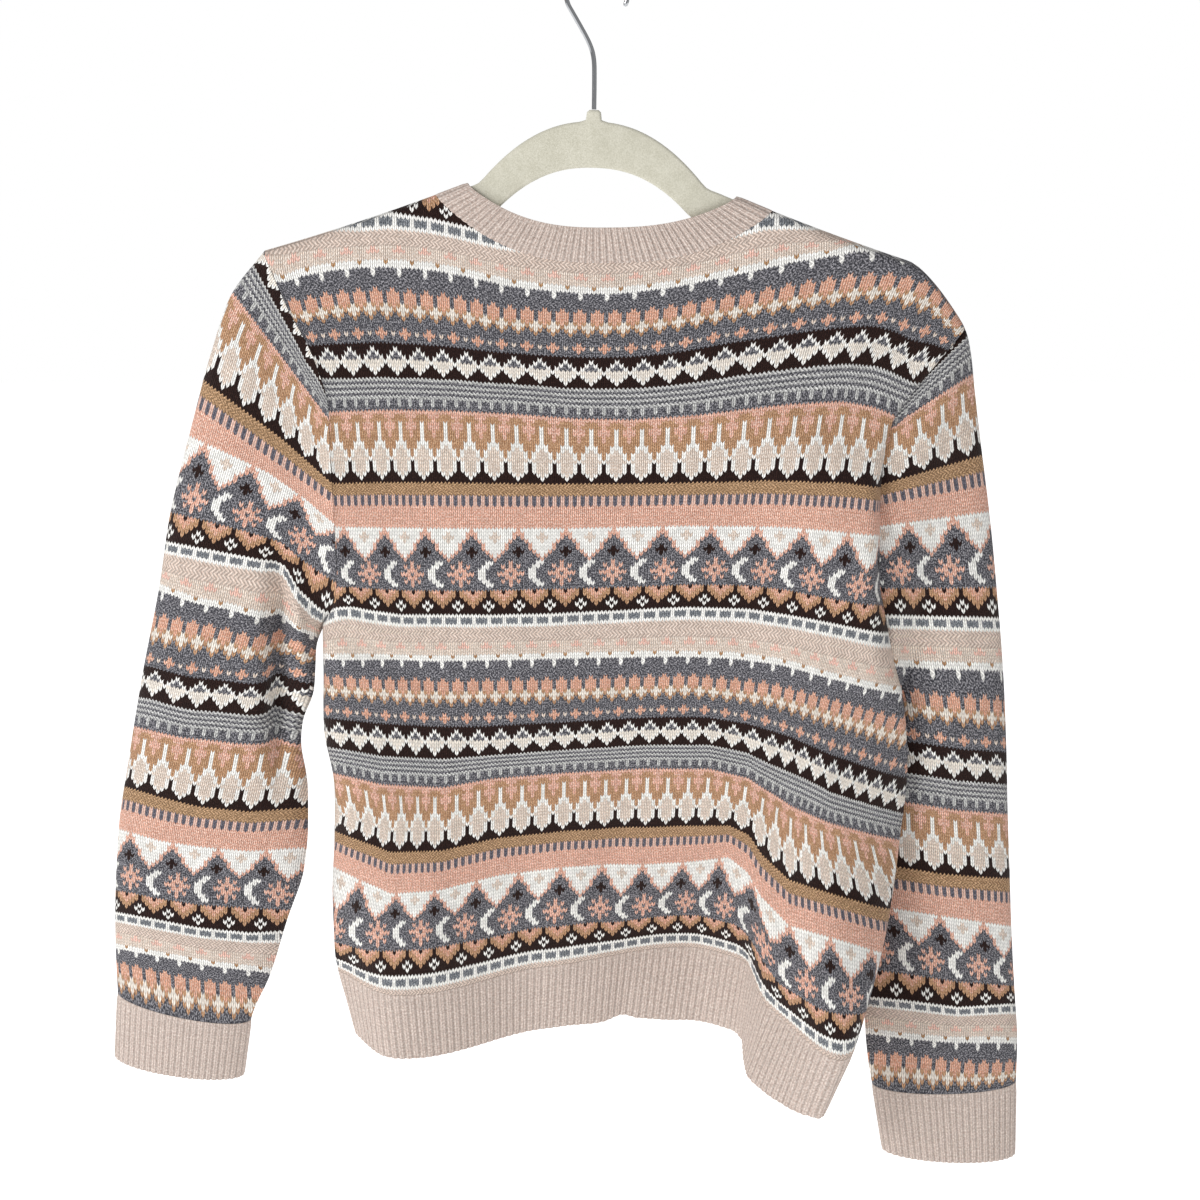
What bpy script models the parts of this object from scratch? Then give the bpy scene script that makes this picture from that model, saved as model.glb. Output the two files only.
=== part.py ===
"""Fair isle jumper hanging on a flat hanger, its back towards -Y, in metres.

The origin is the inside top of the hanger's hook. +Z is up, +X is the wearer's right.
The cloth is one wall thick everywhere. Each knitted piece is a grid of points on the wall's
middle surface, given thickness along its own normals, and ends just short of its neighbour.
"""

import math

import bmesh
import bpy
import numpy as np

# Cloth, seams and ribs
WALL = 0.0020
SEAM = 0.0003
RIB_RISE = 0.0011
HEM_RIBS = 164
CUFF_RIBS = 42
NECK_RIBS = 84
HEM_DEPTH = 0.051

# Hanger, in its own upright frame below the hook
HANGER_TILT = math.radians(1.2)
HANGER_THICK = 0.0050
HANGER_EDGE = 0.0020
HANGER_REACH = 0.2170
HANGER_END_ROUND = 0.0140
WING_START = (0.0840, -0.1415)
WING_DROP = 0.0455
WING_SAG = 0.0060
WING_HEIGHT = (0.0220, 0.0130)
ARCH_OUTER = (-0.0975, 12.24, 2.2)
ARCH_INNER = (-0.1268, 16.30, 2.3)
NUB_WIDTH = 0.0100
NUB_TOP = -0.0903

# Hook, a round wire
WIRE = 0.0030
HOOK_RADIUS = 0.0198
HOOK_OPEN_END = math.radians(-25)
HOOK_LAST = math.radians(205)
STEM_TURN = ((-0.0121, -0.0362), (-0.0046, -0.0490), (-0.0017, -0.0580), (-0.0016, -0.0720))

# Cloth over the hanger
REST_GAP = 0.0018
ROLL = 0.0060
SHOULDER_DROP = (0.2080, 4.60, 1.56)

# Neckline: where it meets the shoulder line, and its lowest points
NECK_CORNERS = (-0.1060, 0.1155)
NECK_BACK_Z = -0.1875
NECK_FRONT_Z = -0.2360
BAND_CORNERS = (-0.0850, 0.0920)
BAND_BACK_Z = -0.1647
BAND_FRONT_Z = -0.2130
NECK_CURVE = (2.6, 2.1)
BAND_GIRTH = 0.0060

# Middle depth of the two body panels: height, back, front
PANEL_DEPTH = (
    (-0.140, -0.0060, 0.0060),
    (-0.195, -0.0074, 0.0074),
    (-0.250, -0.0130, 0.0140),
    (-0.320, -0.0190, 0.0210),
    (-0.420, -0.0200, 0.0300),
    (-0.500, -0.0140, 0.0380),
    (-0.600, -0.0030, 0.0480),
    (-0.680, 0.0090, 0.0600),
    (-0.740, 0.0160, 0.0700),
    (-0.800, 0.0100, 0.0680),
)

# Body's edges: height, furthest x, width of the turn, how far it laps round in degrees past
# square (less than zero stops short of it), depth of the seam on the back and on the front.
# Where those two differ the edge is the armhole.
LEFT_EDGE = (
    (-0.1805, -0.2210, 0.004, -60, -0.0060, 0.0060),
    (-0.2170, -0.2065, 0.004, -60, -0.0100, 0.0100),
    (-0.2480, -0.1910, 0.004, -60, -0.0140, 0.0140),
    (-0.2860, -0.1812, 0.004, -60, -0.0180, 0.0180),
    (-0.3500, -0.1805, 0.004, -60, -0.0205, 0.0220),
    (-0.4000, -0.1797, 0.008, -60, -0.0190, 0.0240),
    (-0.4250, -0.1850, 0.014, -50, -0.0120, 0.0180),
    (-0.4400, -0.1945, 0.014, 0, 0.0030, 0.0030),
    (-0.4700, -0.1955, 0.014, 0, 0.0050, 0.0050),
    (-0.5200, -0.1980, 0.016, 0, 0.0070, 0.0070),
    (-0.5640, -0.1930, 0.018, 0, 0.0090, 0.0090),
    (-0.6060, -0.1950, 0.020, 0, 0.0110, 0.0110),
    (-0.6600, -0.1980, 0.022, 0, 0.0140, 0.0140),
    (-0.7050, -0.1970, 0.024, 0, 0.0160, 0.0160),
    (-0.7350, -0.1920, 0.026, 0, 0.0160, 0.0160),
    (-0.7600, -0.1830, 0.026, 0, 0.0150, 0.0150),
    (-0.7850, -0.1710, 0.026, 0, 0.0140, 0.0140),
)
RIGHT_EDGE = (
    (-0.2315, 0.2460, 0.006, -60, -0.0070, 0.0070),
    (-0.2576, 0.2244, 0.008, -60, -0.0120, 0.0120),
    (-0.2750, 0.2110, 0.010, -55, -0.0120, 0.0160),
    (-0.2950, 0.1987, 0.014, -50, -0.0140, 0.0180),
    (-0.3350, 0.1933, 0.018, -50, -0.0160, 0.0210),
    (-0.4000, 0.1953, 0.020, -50, -0.0160, 0.0220),
    (-0.4400, 0.2033, 0.024, -50, -0.0150, 0.0180),
    (-0.4640, 0.2090, 0.026, -45, -0.0130, 0.0060),
    (-0.4840, 0.2150, 0.030, 20, -0.0120, -0.0120),
    (-0.5200, 0.2205, 0.032, 45, -0.0130, -0.0130),
    (-0.5420, 0.2220, 0.032, 52, -0.0130, -0.0130),
    (-0.6080, 0.2175, 0.032, 55, -0.0130, -0.0130),
    (-0.6520, 0.2115, 0.030, 50, -0.0120, -0.0120),
    (-0.6840, 0.2045, 0.026, 40, -0.0100, -0.0100),
    (-0.7067, 0.1985, 0.024, 30, -0.0080, -0.0080),
    (-0.7356, 0.1915, 0.022, 15, -0.0040, -0.0040),
    (-0.7680, 0.1810, 0.022, 5, 0.0000, 0.0000),
    (-0.7920, 0.1710, 0.022, 0, 0.0020, 0.0020),
)
FRONT_TURN = 0.055
LEFT_ARMPIT = -0.4400
RIGHT_ARMPIT = -0.4840

# Folds of the panels: middle x, reach to the left and right of it, depth at full strength
# (less than zero is towards the back), height where it starts and where it is full
BACK_FOLDS = (
    (-0.150, 0.060, 0.110, -0.034, -0.450, -0.755),
    (0.070, 0.110, 0.060, 0.022, -0.520, -0.730),
    (0.172, 0.058, 0.120, -0.052, -0.480, -0.740),
    (0.172, 0.080, 0.120, -0.016, -0.270, -0.360),
    (0.020, 0.120, 0.120, 0.006, -0.240, -0.330),
)
FRONT_FOLDS = (
    (-0.090, 0.080, 0.080, 0.012, -0.450, -0.740),
    (0.080, 0.090, 0.090, -0.012, -0.450, -0.740),
)
# The sharp pleat beside the right-hand lobe: middle x, half width, depth, start, full
PLEAT = (0.1200, 0.0110, -0.040, -0.580, -0.735)

# Bottom of the hem, from the left seam to the right: share of the way, back, front
HEM_LINE = (
    (0.00, -0.7740, -0.7740),
    (0.15, -0.7765, -0.7750),
    (0.40, -0.7690, -0.7720),
    (0.62, -0.7655, -0.7700),
    (0.76, -0.7720, -0.7750),
    (0.88, -0.7875, -0.7840),
    (1.00, -0.7890, -0.7890),
)

# Sleeves below the armhole: overarm x and z, underarm x and z, middle depth, half depth.
# The last two rows are the cuff's top and bottom.
LEFT_SLEEVE = (
    (-0.2450, -0.2100, -0.2015, -0.4560, 0.000, 0.014),
    (-0.2605, -0.2475, -0.2040, -0.4720, 0.000, 0.016),
    (-0.2775, -0.2975, -0.2085, -0.4900, 0.001, 0.018),
    (-0.2973, -0.3607, -0.2145, -0.5150, 0.002, 0.020),
    (-0.3089, -0.4136, -0.2160, -0.5350, 0.002, 0.021),
    (-0.3261, -0.4799, -0.2135, -0.5640, 0.002, 0.022),
    (-0.3394, -0.5383, -0.2145, -0.5950, 0.001, 0.022),
    (-0.3525, -0.6007, -0.2190, -0.6300, 0.000, 0.022),
    (-0.3590, -0.6624, -0.2330, -0.6700, -0.003, 0.021),
    (-0.3612, -0.7000, -0.2480, -0.7150, -0.004, 0.020),
    (-0.3620, -0.7290, -0.2645, -0.7525, -0.005, 0.018),
    (-0.3680, -0.7820, -0.2725, -0.7985, -0.006, 0.017),
)
RIGHT_SLEEVE = (
    (0.2535, -0.2480, 0.2180, -0.4980, 0.006, 0.013),
    (0.2590, -0.2760, 0.2170, -0.5120, 0.009, 0.014),
    (0.2655, -0.3110, 0.2155, -0.5280, 0.010, 0.015),
    (0.2745, -0.3580, 0.2125, -0.5480, 0.011, 0.016),
    (0.2830, -0.4100, 0.2090, -0.5680, 0.011, 0.017),
    (0.2913, -0.4686, 0.2065, -0.5950, 0.010, 0.018),
    (0.2990, -0.5370, 0.2030, -0.6250, 0.010, 0.018),
    (0.3040, -0.5950, 0.2025, -0.6550, 0.009, 0.019),
    (0.3080, -0.6450, 0.2030, -0.6900, 0.006, 0.020),
    (0.3115, -0.6865, 0.2040, -0.7250, 0.002, 0.020),
    (0.3155, -0.7300, 0.2055, -0.7600, -0.003, 0.019),
    (0.3190, -0.7700, 0.2080, -0.7850, -0.008, 0.018),
    (0.3190, -0.8000, 0.2110, -0.8030, -0.013, 0.017),
    (0.3210, -0.8600, 0.2205, -0.8560, -0.018, 0.016),
)
ARMHOLE_HALF_DEPTH = 0.010
ARMHOLE_FADE = 2.0
ANGLE_FADE = 0.35

# Where a sleeve turns under at the armpit: how far it stands clear of the seam there, and
# between which angles round the armhole that comes in
ARMPIT = {
    "left": ((-0.0045, 0.0, 0.0), 0.62 * math.pi, 0.88 * math.pi),
    "right": ((0.0045, 0.003, 0.0), 0.60 * math.pi, 0.88 * math.pi),
}

# Mesh fineness: a panel's columns on the left shoulder, neck and right shoulder, and its rows
# in the roll over the hanger, beside the armhole and below the armpit. NECK_ROLL places the
# neck's first columns, where its edge comes over the hanger.
PANEL_COLUMNS = (8, 18, 10)
NECK_ROLL = (0.005, 0.015, 0.034)
PANEL_ROWS = (3, 9, 7)
SLEEVE_ROWS = 18
SECTION_POINTS = 90
FINE_SECTION = 4 * SECTION_POINTS
CUT_HEIGHTS = np.linspace(-0.142, -0.760, 120)
CURVE_POINTS = 121
WIRE_POINTS = 44
WIRE_SIDES = 8
PIT_ROW = PANEL_ROWS[0] + PANEL_ROWS[1]

YARN = {
    "marl": (0.62, 0.49, 0.42),
    "body": (0.40, 0.33, 0.31),
    "sleeve": (0.38, 0.31, 0.29),
    "flock": (0.72, 0.69, 0.58),
    "chrome": (0.78, 0.79, 0.80),
}


def read(table, column, at):
    """A column of a table against its first one, on a smooth curve that never overshoots."""
    rows = np.array(table, float)
    rows = rows[np.argsort(rows[:, 0])]
    x, y = rows[:, 0], rows[:, column]
    step, slope = np.diff(x), np.diff(y) / np.diff(x)
    before, after = slope[:-1], slope[1:]
    same_way = before * after > 0
    inner = np.where(same_way, 2 * before * after / np.where(same_way, before + after, 1), 0)
    tangent = np.concatenate([[slope[0]], inner, [slope[-1]]])
    at = np.clip(np.asarray(at, float), x[0], x[-1])
    k = np.clip(np.searchsorted(x, at, side="right") - 1, 0, len(x) - 2)
    t = (at - x[k]) / step[k]
    return (y[k] * (1 + 2 * t) * (1 - t) ** 2 + tangent[k] * step[k] * t * (1 - t) ** 2
            + y[k + 1] * t * t * (3 - 2 * t) - tangent[k + 1] * step[k] * t * t * (1 - t))


def ease(start, full, at):
    """0 at start, 1 at full, smooth between."""
    t = np.clip((at - start) / (full - start), 0, 1)
    return t * t * (3 - 2 * t)


def lengths(points):
    """Distance of each point along its path."""
    step = np.linalg.norm(np.diff(points[:, :3], axis=0), axis=1)
    return np.concatenate([[0], np.cumsum(step)])


def evenly(points, count):
    """The same path with count points, evenly spaced. Columns past the third just follow."""
    points = np.asarray(points, float)
    length = lengths(points)
    at = np.linspace(0, length[-1], count)
    return np.stack([np.interp(at, length, points[:, i]) for i in range(points.shape[1])], 1)


def round_loop(back, front, count):
    """A loop of count points: half of them evenly on the back's path and half on the front's.
    Both paths run from left to right."""
    half = count // 2 + 1
    return np.concatenate([evenly(back, half)[:-1], evenly(front[::-1], half)[:-1]])


def unit(vectors):
    return vectors / np.linalg.norm(vectors, axis=-1, keepdims=True)


# ---------------------------------------------------------------- hanger lines


def wing_top(x):
    """Top edge of a hanger's arm, upright, at a distance from the middle."""
    q = (x - WING_START[0]) / (HANGER_REACH - WING_START[0])
    return WING_START[1] - WING_DROP * q - WING_SAG * np.clip(q, 0, 1) * (1 - np.clip(q, 0, 1))


def arch(shape, x):
    top, rise, power = shape
    return top - rise * np.abs(x) ** power


def tilted(x, z):
    """A point of the upright hanger, turned about the hook's inside top."""
    c, s = math.cos(HANGER_TILT), math.sin(HANGER_TILT)
    return x * c + z * s, z * c - x * s


def shoulder_line(x):
    """Height of the cloth's middle surface where it folds over the hanger, at x."""
    x = np.asarray(x, float)
    upright = np.abs(x - HANGER_TILT * WING_START[1])
    top = wing_top(upright) - x * math.tan(HANGER_TILT) + REST_GAP
    start, rate, power = SHOULDER_DROP
    return top - rate * np.clip(x - start, 0, None) ** power


# ---------------------------------------------------------------- body


def depth(face, x, z):
    """Depth of a body panel away from its edges."""
    y = read(PANEL_DEPTH, 1 if face == "back" else 2, z)
    for middle, left, right, deep, start, full in BACK_FOLDS if face == "back" else FRONT_FOLDS:
        q = np.where(x < middle, (middle - x) / left, (x - middle) / right)
        y = y + deep * ease(start, full, z) * np.cos(np.clip(q, 0, 1) * math.pi / 2) ** 2
    if face == "back":
        middle, half, deep, start, full = PLEAT
        y = y + deep * ease(start, full, z) * ease(middle - half, middle + half, x)
    return y


def over_hanger(x, z):
    """Share of a panel's depth that is left near the shoulder line, where it rolls over."""
    q = np.clip((shoulder_line(x) - z) / ROLL, 0, 1)
    return np.sqrt(1 - (1 - q) ** 2)


def edge_turn(width, lap, count):
    """Round a panel's edge: distance in from the furthest x, and share of the way from the
    panel's depth to the seam's."""
    a = np.linspace(0, math.pi / 2 + lap, count)
    return width * (math.cos(min(lap, 0)) - np.sin(a)), (1 - np.cos(a)) / (1 + math.sin(lap))


def section(face, z, count):
    """A body panel cut level at height z: count points (x, y) from left seam to right seam."""
    column = 4 if face == "back" else 5
    left, right = read(LEFT_EDGE, 1, z), read(RIGHT_EDGE, 1, z)
    left_turn, right_turn = read(LEFT_EDGE, 2, z), read(RIGHT_EDGE, 2, z)
    left_lap, right_lap = [math.radians(float(read(t, 3, z))) for t in (LEFT_EDGE, RIGHT_EDGE)]
    left_y, right_y = read(LEFT_EDGE, column, z), read(RIGHT_EDGE, column, z)
    n = SECTION_POINTS // 3
    if face == "front":
        left_turn = left_turn + (FRONT_TURN - left_turn) * ease(LEFT_ARMPIT, LEFT_ARMPIT - 0.08, z)
    inset, share_left = edge_turn(left_turn, left_lap, n)
    x_left, share_left = left + inset[::-1], share_left[::-1]
    if face == "back" or right_lap < 0:
        inset, share_right = edge_turn(right_turn, right_lap, n)
        x_right = right - inset
    else:
        right = right - right_turn * (1 - math.cos(right_lap))
        right_turn = right_turn + (FRONT_TURN - right_turn) * ease(RIGHT_ARMPIT, RIGHT_ARMPIT - 0.05, z)
        t, flat = np.linspace(0, 1, n), math.sin(right_lap)
        x_right = right - right_turn * (1 - (1 - flat) * np.sin(t * math.pi / 2) - flat * t)
        share_right = (1 - flat) * (1 - np.cos(t * math.pi / 2)) + flat * ease(0, 1, t)
    x_middle = np.linspace(x_left[-1], x_right[0], 3 * n)[1:-1]
    x = np.concatenate([x_left, x_middle, x_right])
    y = depth(face, x, z)
    y[:n] += (left_y - y[:n]) * share_left
    y[-n:] += (right_y - y[-n:]) * share_right
    return evenly(np.stack([x, y], 1), count)


def neck_line(x, face, corners, low):
    """Height of a neckline's curve at x, between its corners on the shoulder line."""
    middle = (corners[0] + corners[1]) / 2
    reach = (corners[1] - corners[0]) / 2
    q = np.clip(np.abs(x - middle) / reach, 0, 1)
    top = np.where(x < middle, shoulder_line(corners[0]), shoulder_line(corners[1]))
    return low + (top - low) * q ** NECK_CURVE[0 if face == "back" else 1]


def panel_top(face, x):
    """Top edge of a body panel: shoulder line, and neckline between the corners."""
    low = NECK_BACK_Z if face == "back" else NECK_FRONT_Z
    return np.where((x > NECK_CORNERS[0]) & (x < NECK_CORNERS[1]),
                    neck_line(x, face, NECK_CORNERS, low), shoulder_line(x))


def hem_line(face, share):
    return read(HEM_LINE, 1 if face == "back" else 2, share)


def seam_way(side, z):
    """Level direction in which the back panel arrives at its seam, at height z."""
    cut = section("back", z, FINE_SECTION)
    way = cut[0] - cut[1] if side == "left" else cut[-1] - cut[-2]
    return np.array([*way, 0]) / np.linalg.norm(way)


def panel_shares(face):
    """Share of the way across for each column of a panel, with a column on each neck corner."""
    corners = [0]
    for corner in NECK_CORNERS:
        x = section(face, float(shoulder_line(corner)), FINE_SECTION)[:, 0]
        corners.append(float(np.interp(corner, x, np.linspace(0, 1, len(x)))))
    corners.append(1)
    left, neck, right = [np.linspace(0, 1, n + 1) for n in PANEL_COLUMNS]
    rolled = len(NECK_ROLL)
    neck[1:rolled + 1] = NECK_ROLL
    neck[-rolled - 1:-1] = 1 - np.array(NECK_ROLL[::-1])
    neck[rolled:-rolled] = np.linspace(neck[rolled], neck[-rolled - 1], len(neck) - 2 * rolled)
    runs = [a + (b - a) * run[:-1] for a, b, run in zip(corners, corners[1:], (left, neck, right))]
    return np.concatenate(runs + [[1.0]])


def panel_points(face):
    """Middle surface of a body panel, a row for each step down from its top edge."""
    shares = panel_shares(face)
    cuts = np.array([section(face, z, FINE_SECTION) for z in CUT_HEIGHTS])
    even = np.linspace(0, 1, FINE_SECTION)
    cuts = np.stack([[np.interp(shares, even, cut[:, k]) for cut in cuts] for k in (0, 1)], 2)

    def at(i, z):
        return [np.interp(-z, -CUT_HEIGHTS, cuts[:, i, k]) for k in (0, 1)]

    roll_rows, armhole_rows, side_rows = PANEL_ROWS
    roll = ROLL * (1 - np.cos(np.linspace(0, math.pi / 2, roll_rows + 1)))
    points = np.zeros((sum(PANEL_ROWS) + 1, len(shares), 3))
    for i, share in enumerate(shares):
        top = NECK_BACK_Z
        for _ in range(40):  # settles on the height where this column meets the top edge
            top = 0.5 * (top + float(panel_top(face, at(i, top)[0])))
        pit = LEFT_ARMPIT + (RIGHT_ARMPIT - LEFT_ARMPIT) * share
        bottom = float(hem_line(face, share)) + HEM_DEPTH + SEAM
        heights = [top - roll, np.linspace(top - ROLL, pit, armhole_rows + 1)[1:],
                   np.linspace(pit, bottom, side_rows + 1)[1:]]
        for j, z in enumerate(np.concatenate(heights)):
            points[j, i] = (*at(i, z), z)
    points[..., 1] *= over_hanger(points[..., 0], points[..., 2])
    return points


def panel(face):
    """A body panel's points and normals, squared off where it meets its neighbours."""
    points = panel_points(face)
    normal = normals(points, False) * (1 if face == "back" else -1)
    away = SEAM / 2 * (-1 if face == "back" else 1)
    for column, side in ((0, "left"), (-1, "right")):
        for row in range(PIT_ROW, sum(PANEL_ROWS) + 1):
            way = seam_way(side, points[row, column, 2])
            points[row, column] += way * away
            normal[row, column] -= way * (normal[row, column] @ way)
    if face == "front":
        normal[PIT_ROW:, [0, -1]] = panel("back")[1][PIT_ROW:, [0, -1]]
    on_shoulder = np.abs(points[0, :, 1]) < 0.001
    points[0, on_shoulder, 1] = away
    slope = np.gradient(shoulder_line(points[0, :, 0]), points[0, :, 0])
    square = unit(np.column_stack([-slope, 0 * slope, 1 + 0 * slope]))
    normal[0, on_shoulder] = square[on_shoulder]
    normal[-1, :, 2] = 0
    return points, unit(normal)


def panel_edge(face, row, columns=slice(None)):
    """A row of a panel's points with their normals beside them."""
    points, normal = panel(face)
    return np.column_stack([points[row, columns], normal[row, columns]])


def hem_rib(count):
    """Points and normals of the hem's rib, which carries on from the panels' bottom edges."""
    top = round_loop(panel_edge("back", -1), panel_edge("front", -1), count)
    bottom = []
    for face in ("back", "front"):
        heights = hem_line(face, np.linspace(0, 1, CURVE_POINTS))
        cuts = [section(face, z, CURVE_POINTS) for z in heights]
        bottom.append(np.array([(*cut[i], z) for i, (cut, z) in enumerate(zip(cuts, heights))]))
    rings = np.array([top[:, :3] - (0, 0, SEAM), round_loop(*bottom, count)])
    normal = normals(rings, True)
    normal[0] = top[:, 3:]
    return rings, unit(normal)


# ---------------------------------------------------------------- neckband


def neckband(count):
    """Points and normals of the neckband, which carries on from the panels' necklines."""
    middle, reach = sum(BAND_CORNERS) / 2, (BAND_CORNERS[1] - BAND_CORNERS[0]) / 2
    x = middle - reach * np.cos(np.linspace(0, math.pi, CURVE_POINTS))
    upper = []
    for face, low, sign in (("back", BAND_BACK_Z, -1), ("front", BAND_FRONT_Z, 1)):
        z = neck_line(x, face, BAND_CORNERS, low)
        upper.append(np.column_stack([x, sign * BAND_GIRTH * over_hanger(x, z), z]))
    neck = slice(PANEL_COLUMNS[0], PANEL_COLUMNS[0] + PANEL_COLUMNS[1] + 1)
    lower = round_loop(panel_edge("back", 0, neck), panel_edge("front", 0, neck), count)
    rings = np.array([round_loop(*upper, count), lower[:, :3]])
    rings[1] += unit(rings[0] - rings[1]) * SEAM
    normal = normals(rings, True)
    normal[1] = lower[:, 3:]
    return rings, unit(normal)


# ---------------------------------------------------------------- sleeves


def armhole(side):
    """The armhole's loop from the shoulder, down the back to the armpit and up the front: its
    points, the body's normals there and the way in which the body's cloth arrives."""
    edge, inner = (0, 1) if side == "left" else (-1, -2)
    runs = []
    for face in ("back", "front"):
        points, normal = panel(face)
        way = unit(points[:, edge] - points[:, inner])
        runs.append(np.stack([points[:, edge], normal[:, edge], way])[:, :PIT_ROW + 1])
    back, front = runs
    return np.concatenate([back, front[:, -2:0:-1]], axis=1)


def along_chord(hole):
    """Where each point of an armhole lies from its shoulder end to the armpit, as a share of
    that straight line and as a distance off it, in the plane of the hanger."""
    tip, pit = hole[0, [0, 2]], hole[PIT_ROW, [0, 2]]
    chord = pit - tip
    off = np.array([-chord[1], chord[0]]) / np.linalg.norm(chord)
    spot = hole[:, [0, 2]] - tip
    return spot @ chord / (chord @ chord), spot @ off


def sleeve_rings(side, steps, turn, hole):
    """Rings of a sleeve and their normals, from the armhole's points at the angles turn. A step
    is the table's row, 0 for the armhole. Its bow fades first, then the angles even out."""
    table = LEFT_SLEEVE if side == "left" else RIGHT_SLEEVE
    last = len(table) - 1
    even = np.linspace(0, 2 * math.pi, len(turn), endpoint=False)
    along_hole, bow_hole = along_chord(hole)
    tip, pit = hole[0], hole[PIT_ROW]
    rows = [(0, tip[0], tip[2], pit[0], pit[2], pit[1], ARMHOLE_HALF_DEPTH)]
    rows += [(i + 1, *row) for i, row in enumerate(table)]

    def edges(step):
        return [np.array([read(rows, k, step), read(rows, k + 1, step)]) for k in (1, 3)]

    rings, outward = [], []
    for step in steps:
        over, under = edges(step)
        middle, half = read(rows, 5, step), read(rows, 6, step)
        fade = math.exp(-step * ARMHOLE_FADE) * (1 - step / last)
        slower = math.exp(-step * ANGLE_FADE) * (1 - step / last)
        angle = turn * slower + even * (1 - slower)
        along = along_hole * fade + (1 - np.cos(angle)) / 2 * (1 - fade)
        off = unit(np.array([-(under - over)[1], (under - over)[0]]))
        xz = over + along[:, None] * (under - over) + (bow_hole * fade)[:, None] * off
        y = hole[:, 1] * fade + (middle - half * np.sin(angle)) * (1 - fade)
        ahead = sum(edges(min(step + 0.5, last))) - sum(edges(max(step - 0.5, 0)))
        wide_way = unit(np.array([-ahead[1], ahead[0]]))
        wide = (over - under) @ wide_way / 2
        flat = np.cos(angle)[:, None] / wide * wide_way
        rings.append(np.column_stack([xz[:, 0], y, xz[:, 1]]))
        outward.append(np.column_stack([flat[:, 0], -np.sin(angle) / half, flat[:, 1]]))
    return np.array(rings), unit(np.array(outward))


def sleeve(side):
    """A sleeve's points and normals, from just clear of the armhole to the top of its cuff."""
    table = LEFT_SLEEVE if side == "left" else RIGHT_SLEEVE
    hole, body_normal, arrive = armhole(side)
    turn = np.arccos(np.clip(1 - 2 * along_chord(hole)[0], -1, 1))
    turn[PIT_ROW + 1:] = 2 * math.pi - turn[PIT_ROW + 1:]
    clear, start, full = ARMPIT[side]
    near_pit = ease(start, full, math.pi - np.abs(turn - math.pi))[:, None]
    hole = hole + arrive * SEAM * (1 - near_pit) + np.array(clear) * near_pit
    hole[PIT_ROW, 1] = (hole[PIT_ROW - 1, 1] + hole[PIT_ROW + 1, 1]) / 2
    steps = (len(table) - 1) * np.linspace(0, 1, SLEEVE_ROWS + 1)
    rings, normal = sleeve_rings(side, steps, turn, hole)
    normal[0] = body_normal * (1 - near_pit) + normal[0] * near_pit
    way = cuff_way(side)
    rings[-1] -= way * SEAM
    normal[-1] -= way * (normal[-1] @ way)[:, None]
    return rings, unit(normal)


def cuff_way(side):
    """Direction down a sleeve, square to the top edge of its cuff."""
    table = LEFT_SLEEVE if side == "left" else RIGHT_SLEEVE
    over_x, over_z, under_x, under_z = table[-2][:4]
    way = np.array([over_z - under_z, 0, under_x - over_x]) * (1 if side == "left" else -1)
    return -way / np.linalg.norm(way)


def cuff(side, count):
    """A cuff's points and normals. It carries on from the sleeve's last ring."""
    points, normal = sleeve(side)
    last = np.column_stack([points[-1], normal[-1]])
    top = evenly(np.concatenate([last, last[:1]]), count + 1)[:-1]
    table = LEFT_SLEEVE if side == "left" else RIGHT_SLEEVE
    over_x, over_z, under_x, under_z, middle, half = table[-1]
    angle = np.linspace(0, 2 * math.pi, 2 * CURVE_POINTS)
    along = (1 - np.cos(angle)) / 2
    low = evenly(np.column_stack([over_x + (under_x - over_x) * along,
                                  middle - half * np.sin(angle),
                                  over_z + (under_z - over_z) * along]), count + 1)[:-1]
    rings = np.array([top[:, :3] + cuff_way(side) * SEAM, low])
    normal = normals(rings, True) * (1 if side == "left" else -1)
    normal[0] = top[:, 3:]
    return rings, unit(normal)


# ---------------------------------------------------------------- solids


def normals(points, closed):
    """Unit normals of a grid of points: rows go down, columns go round or across."""
    return unit(np.cross(heading(points, False), heading(points.swapaxes(0, 1), closed).swapaxes(0, 1)))


def heading(points, closed):
    """Direction of the path through each point along the first axis, halfway round its bend."""
    if closed:
        before = unit(points - np.roll(points, 1, axis=0))
        return before + np.roll(before, -1, axis=0)
    step = unit(np.diff(points, axis=0))
    return np.concatenate([step[:1], step[:-1] + step[1:], step[-1:]])


def wall(name, points, normal, material, closed, rise=None):
    """A closed solid one wall thick round a grid of points. rise is added to the outside."""
    outer = points + normal * (WALL / 2 + (0 if rise is None else rise[..., None]))
    inner = points - normal * (WALL / 2)
    mesh = bmesh.new()
    outside = [[mesh.verts.new(p) for p in row] for row in outer]
    inside = [[mesh.verts.new(p) for p in row] for row in inner]
    columns = len(outside[0])
    last = columns if closed else columns - 1
    for layer in (outside, inside):
        for a, b in zip(layer, layer[1:]):
            for i in range(last):
                j = (i + 1) % columns
                mesh.faces.new((a[i], a[j], b[j], b[i]))
    for end in (0, -1):
        for i in range(last):
            j = (i + 1) % columns
            mesh.faces.new((outside[end][i], outside[end][j], inside[end][j], inside[end][i]))
    if not closed:
        for end in (0, -1):
            for a, b, c, d in zip(outside, outside[1:], inside[1:], inside):
                mesh.faces.new((a[end], b[end], c[end], d[end]))
    finish(name, mesh, material)


def finish(name, mesh, material):
    """Puts a bmesh in the scene as a named object with faces pointing out."""
    bmesh.ops.triangulate(mesh, faces=mesh.faces[:])
    bmesh.ops.recalc_face_normals(mesh, faces=mesh.faces[:])
    data = bpy.data.meshes.new(name)
    mesh.to_mesh(data)
    mesh.free()
    data.shade_smooth()
    data.set_sharp_from_angle(angle=math.radians(50))
    data.materials.append(material)
    thing = bpy.data.objects.new(name, data)
    bpy.context.scene.collection.objects.link(thing)
    return thing


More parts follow.
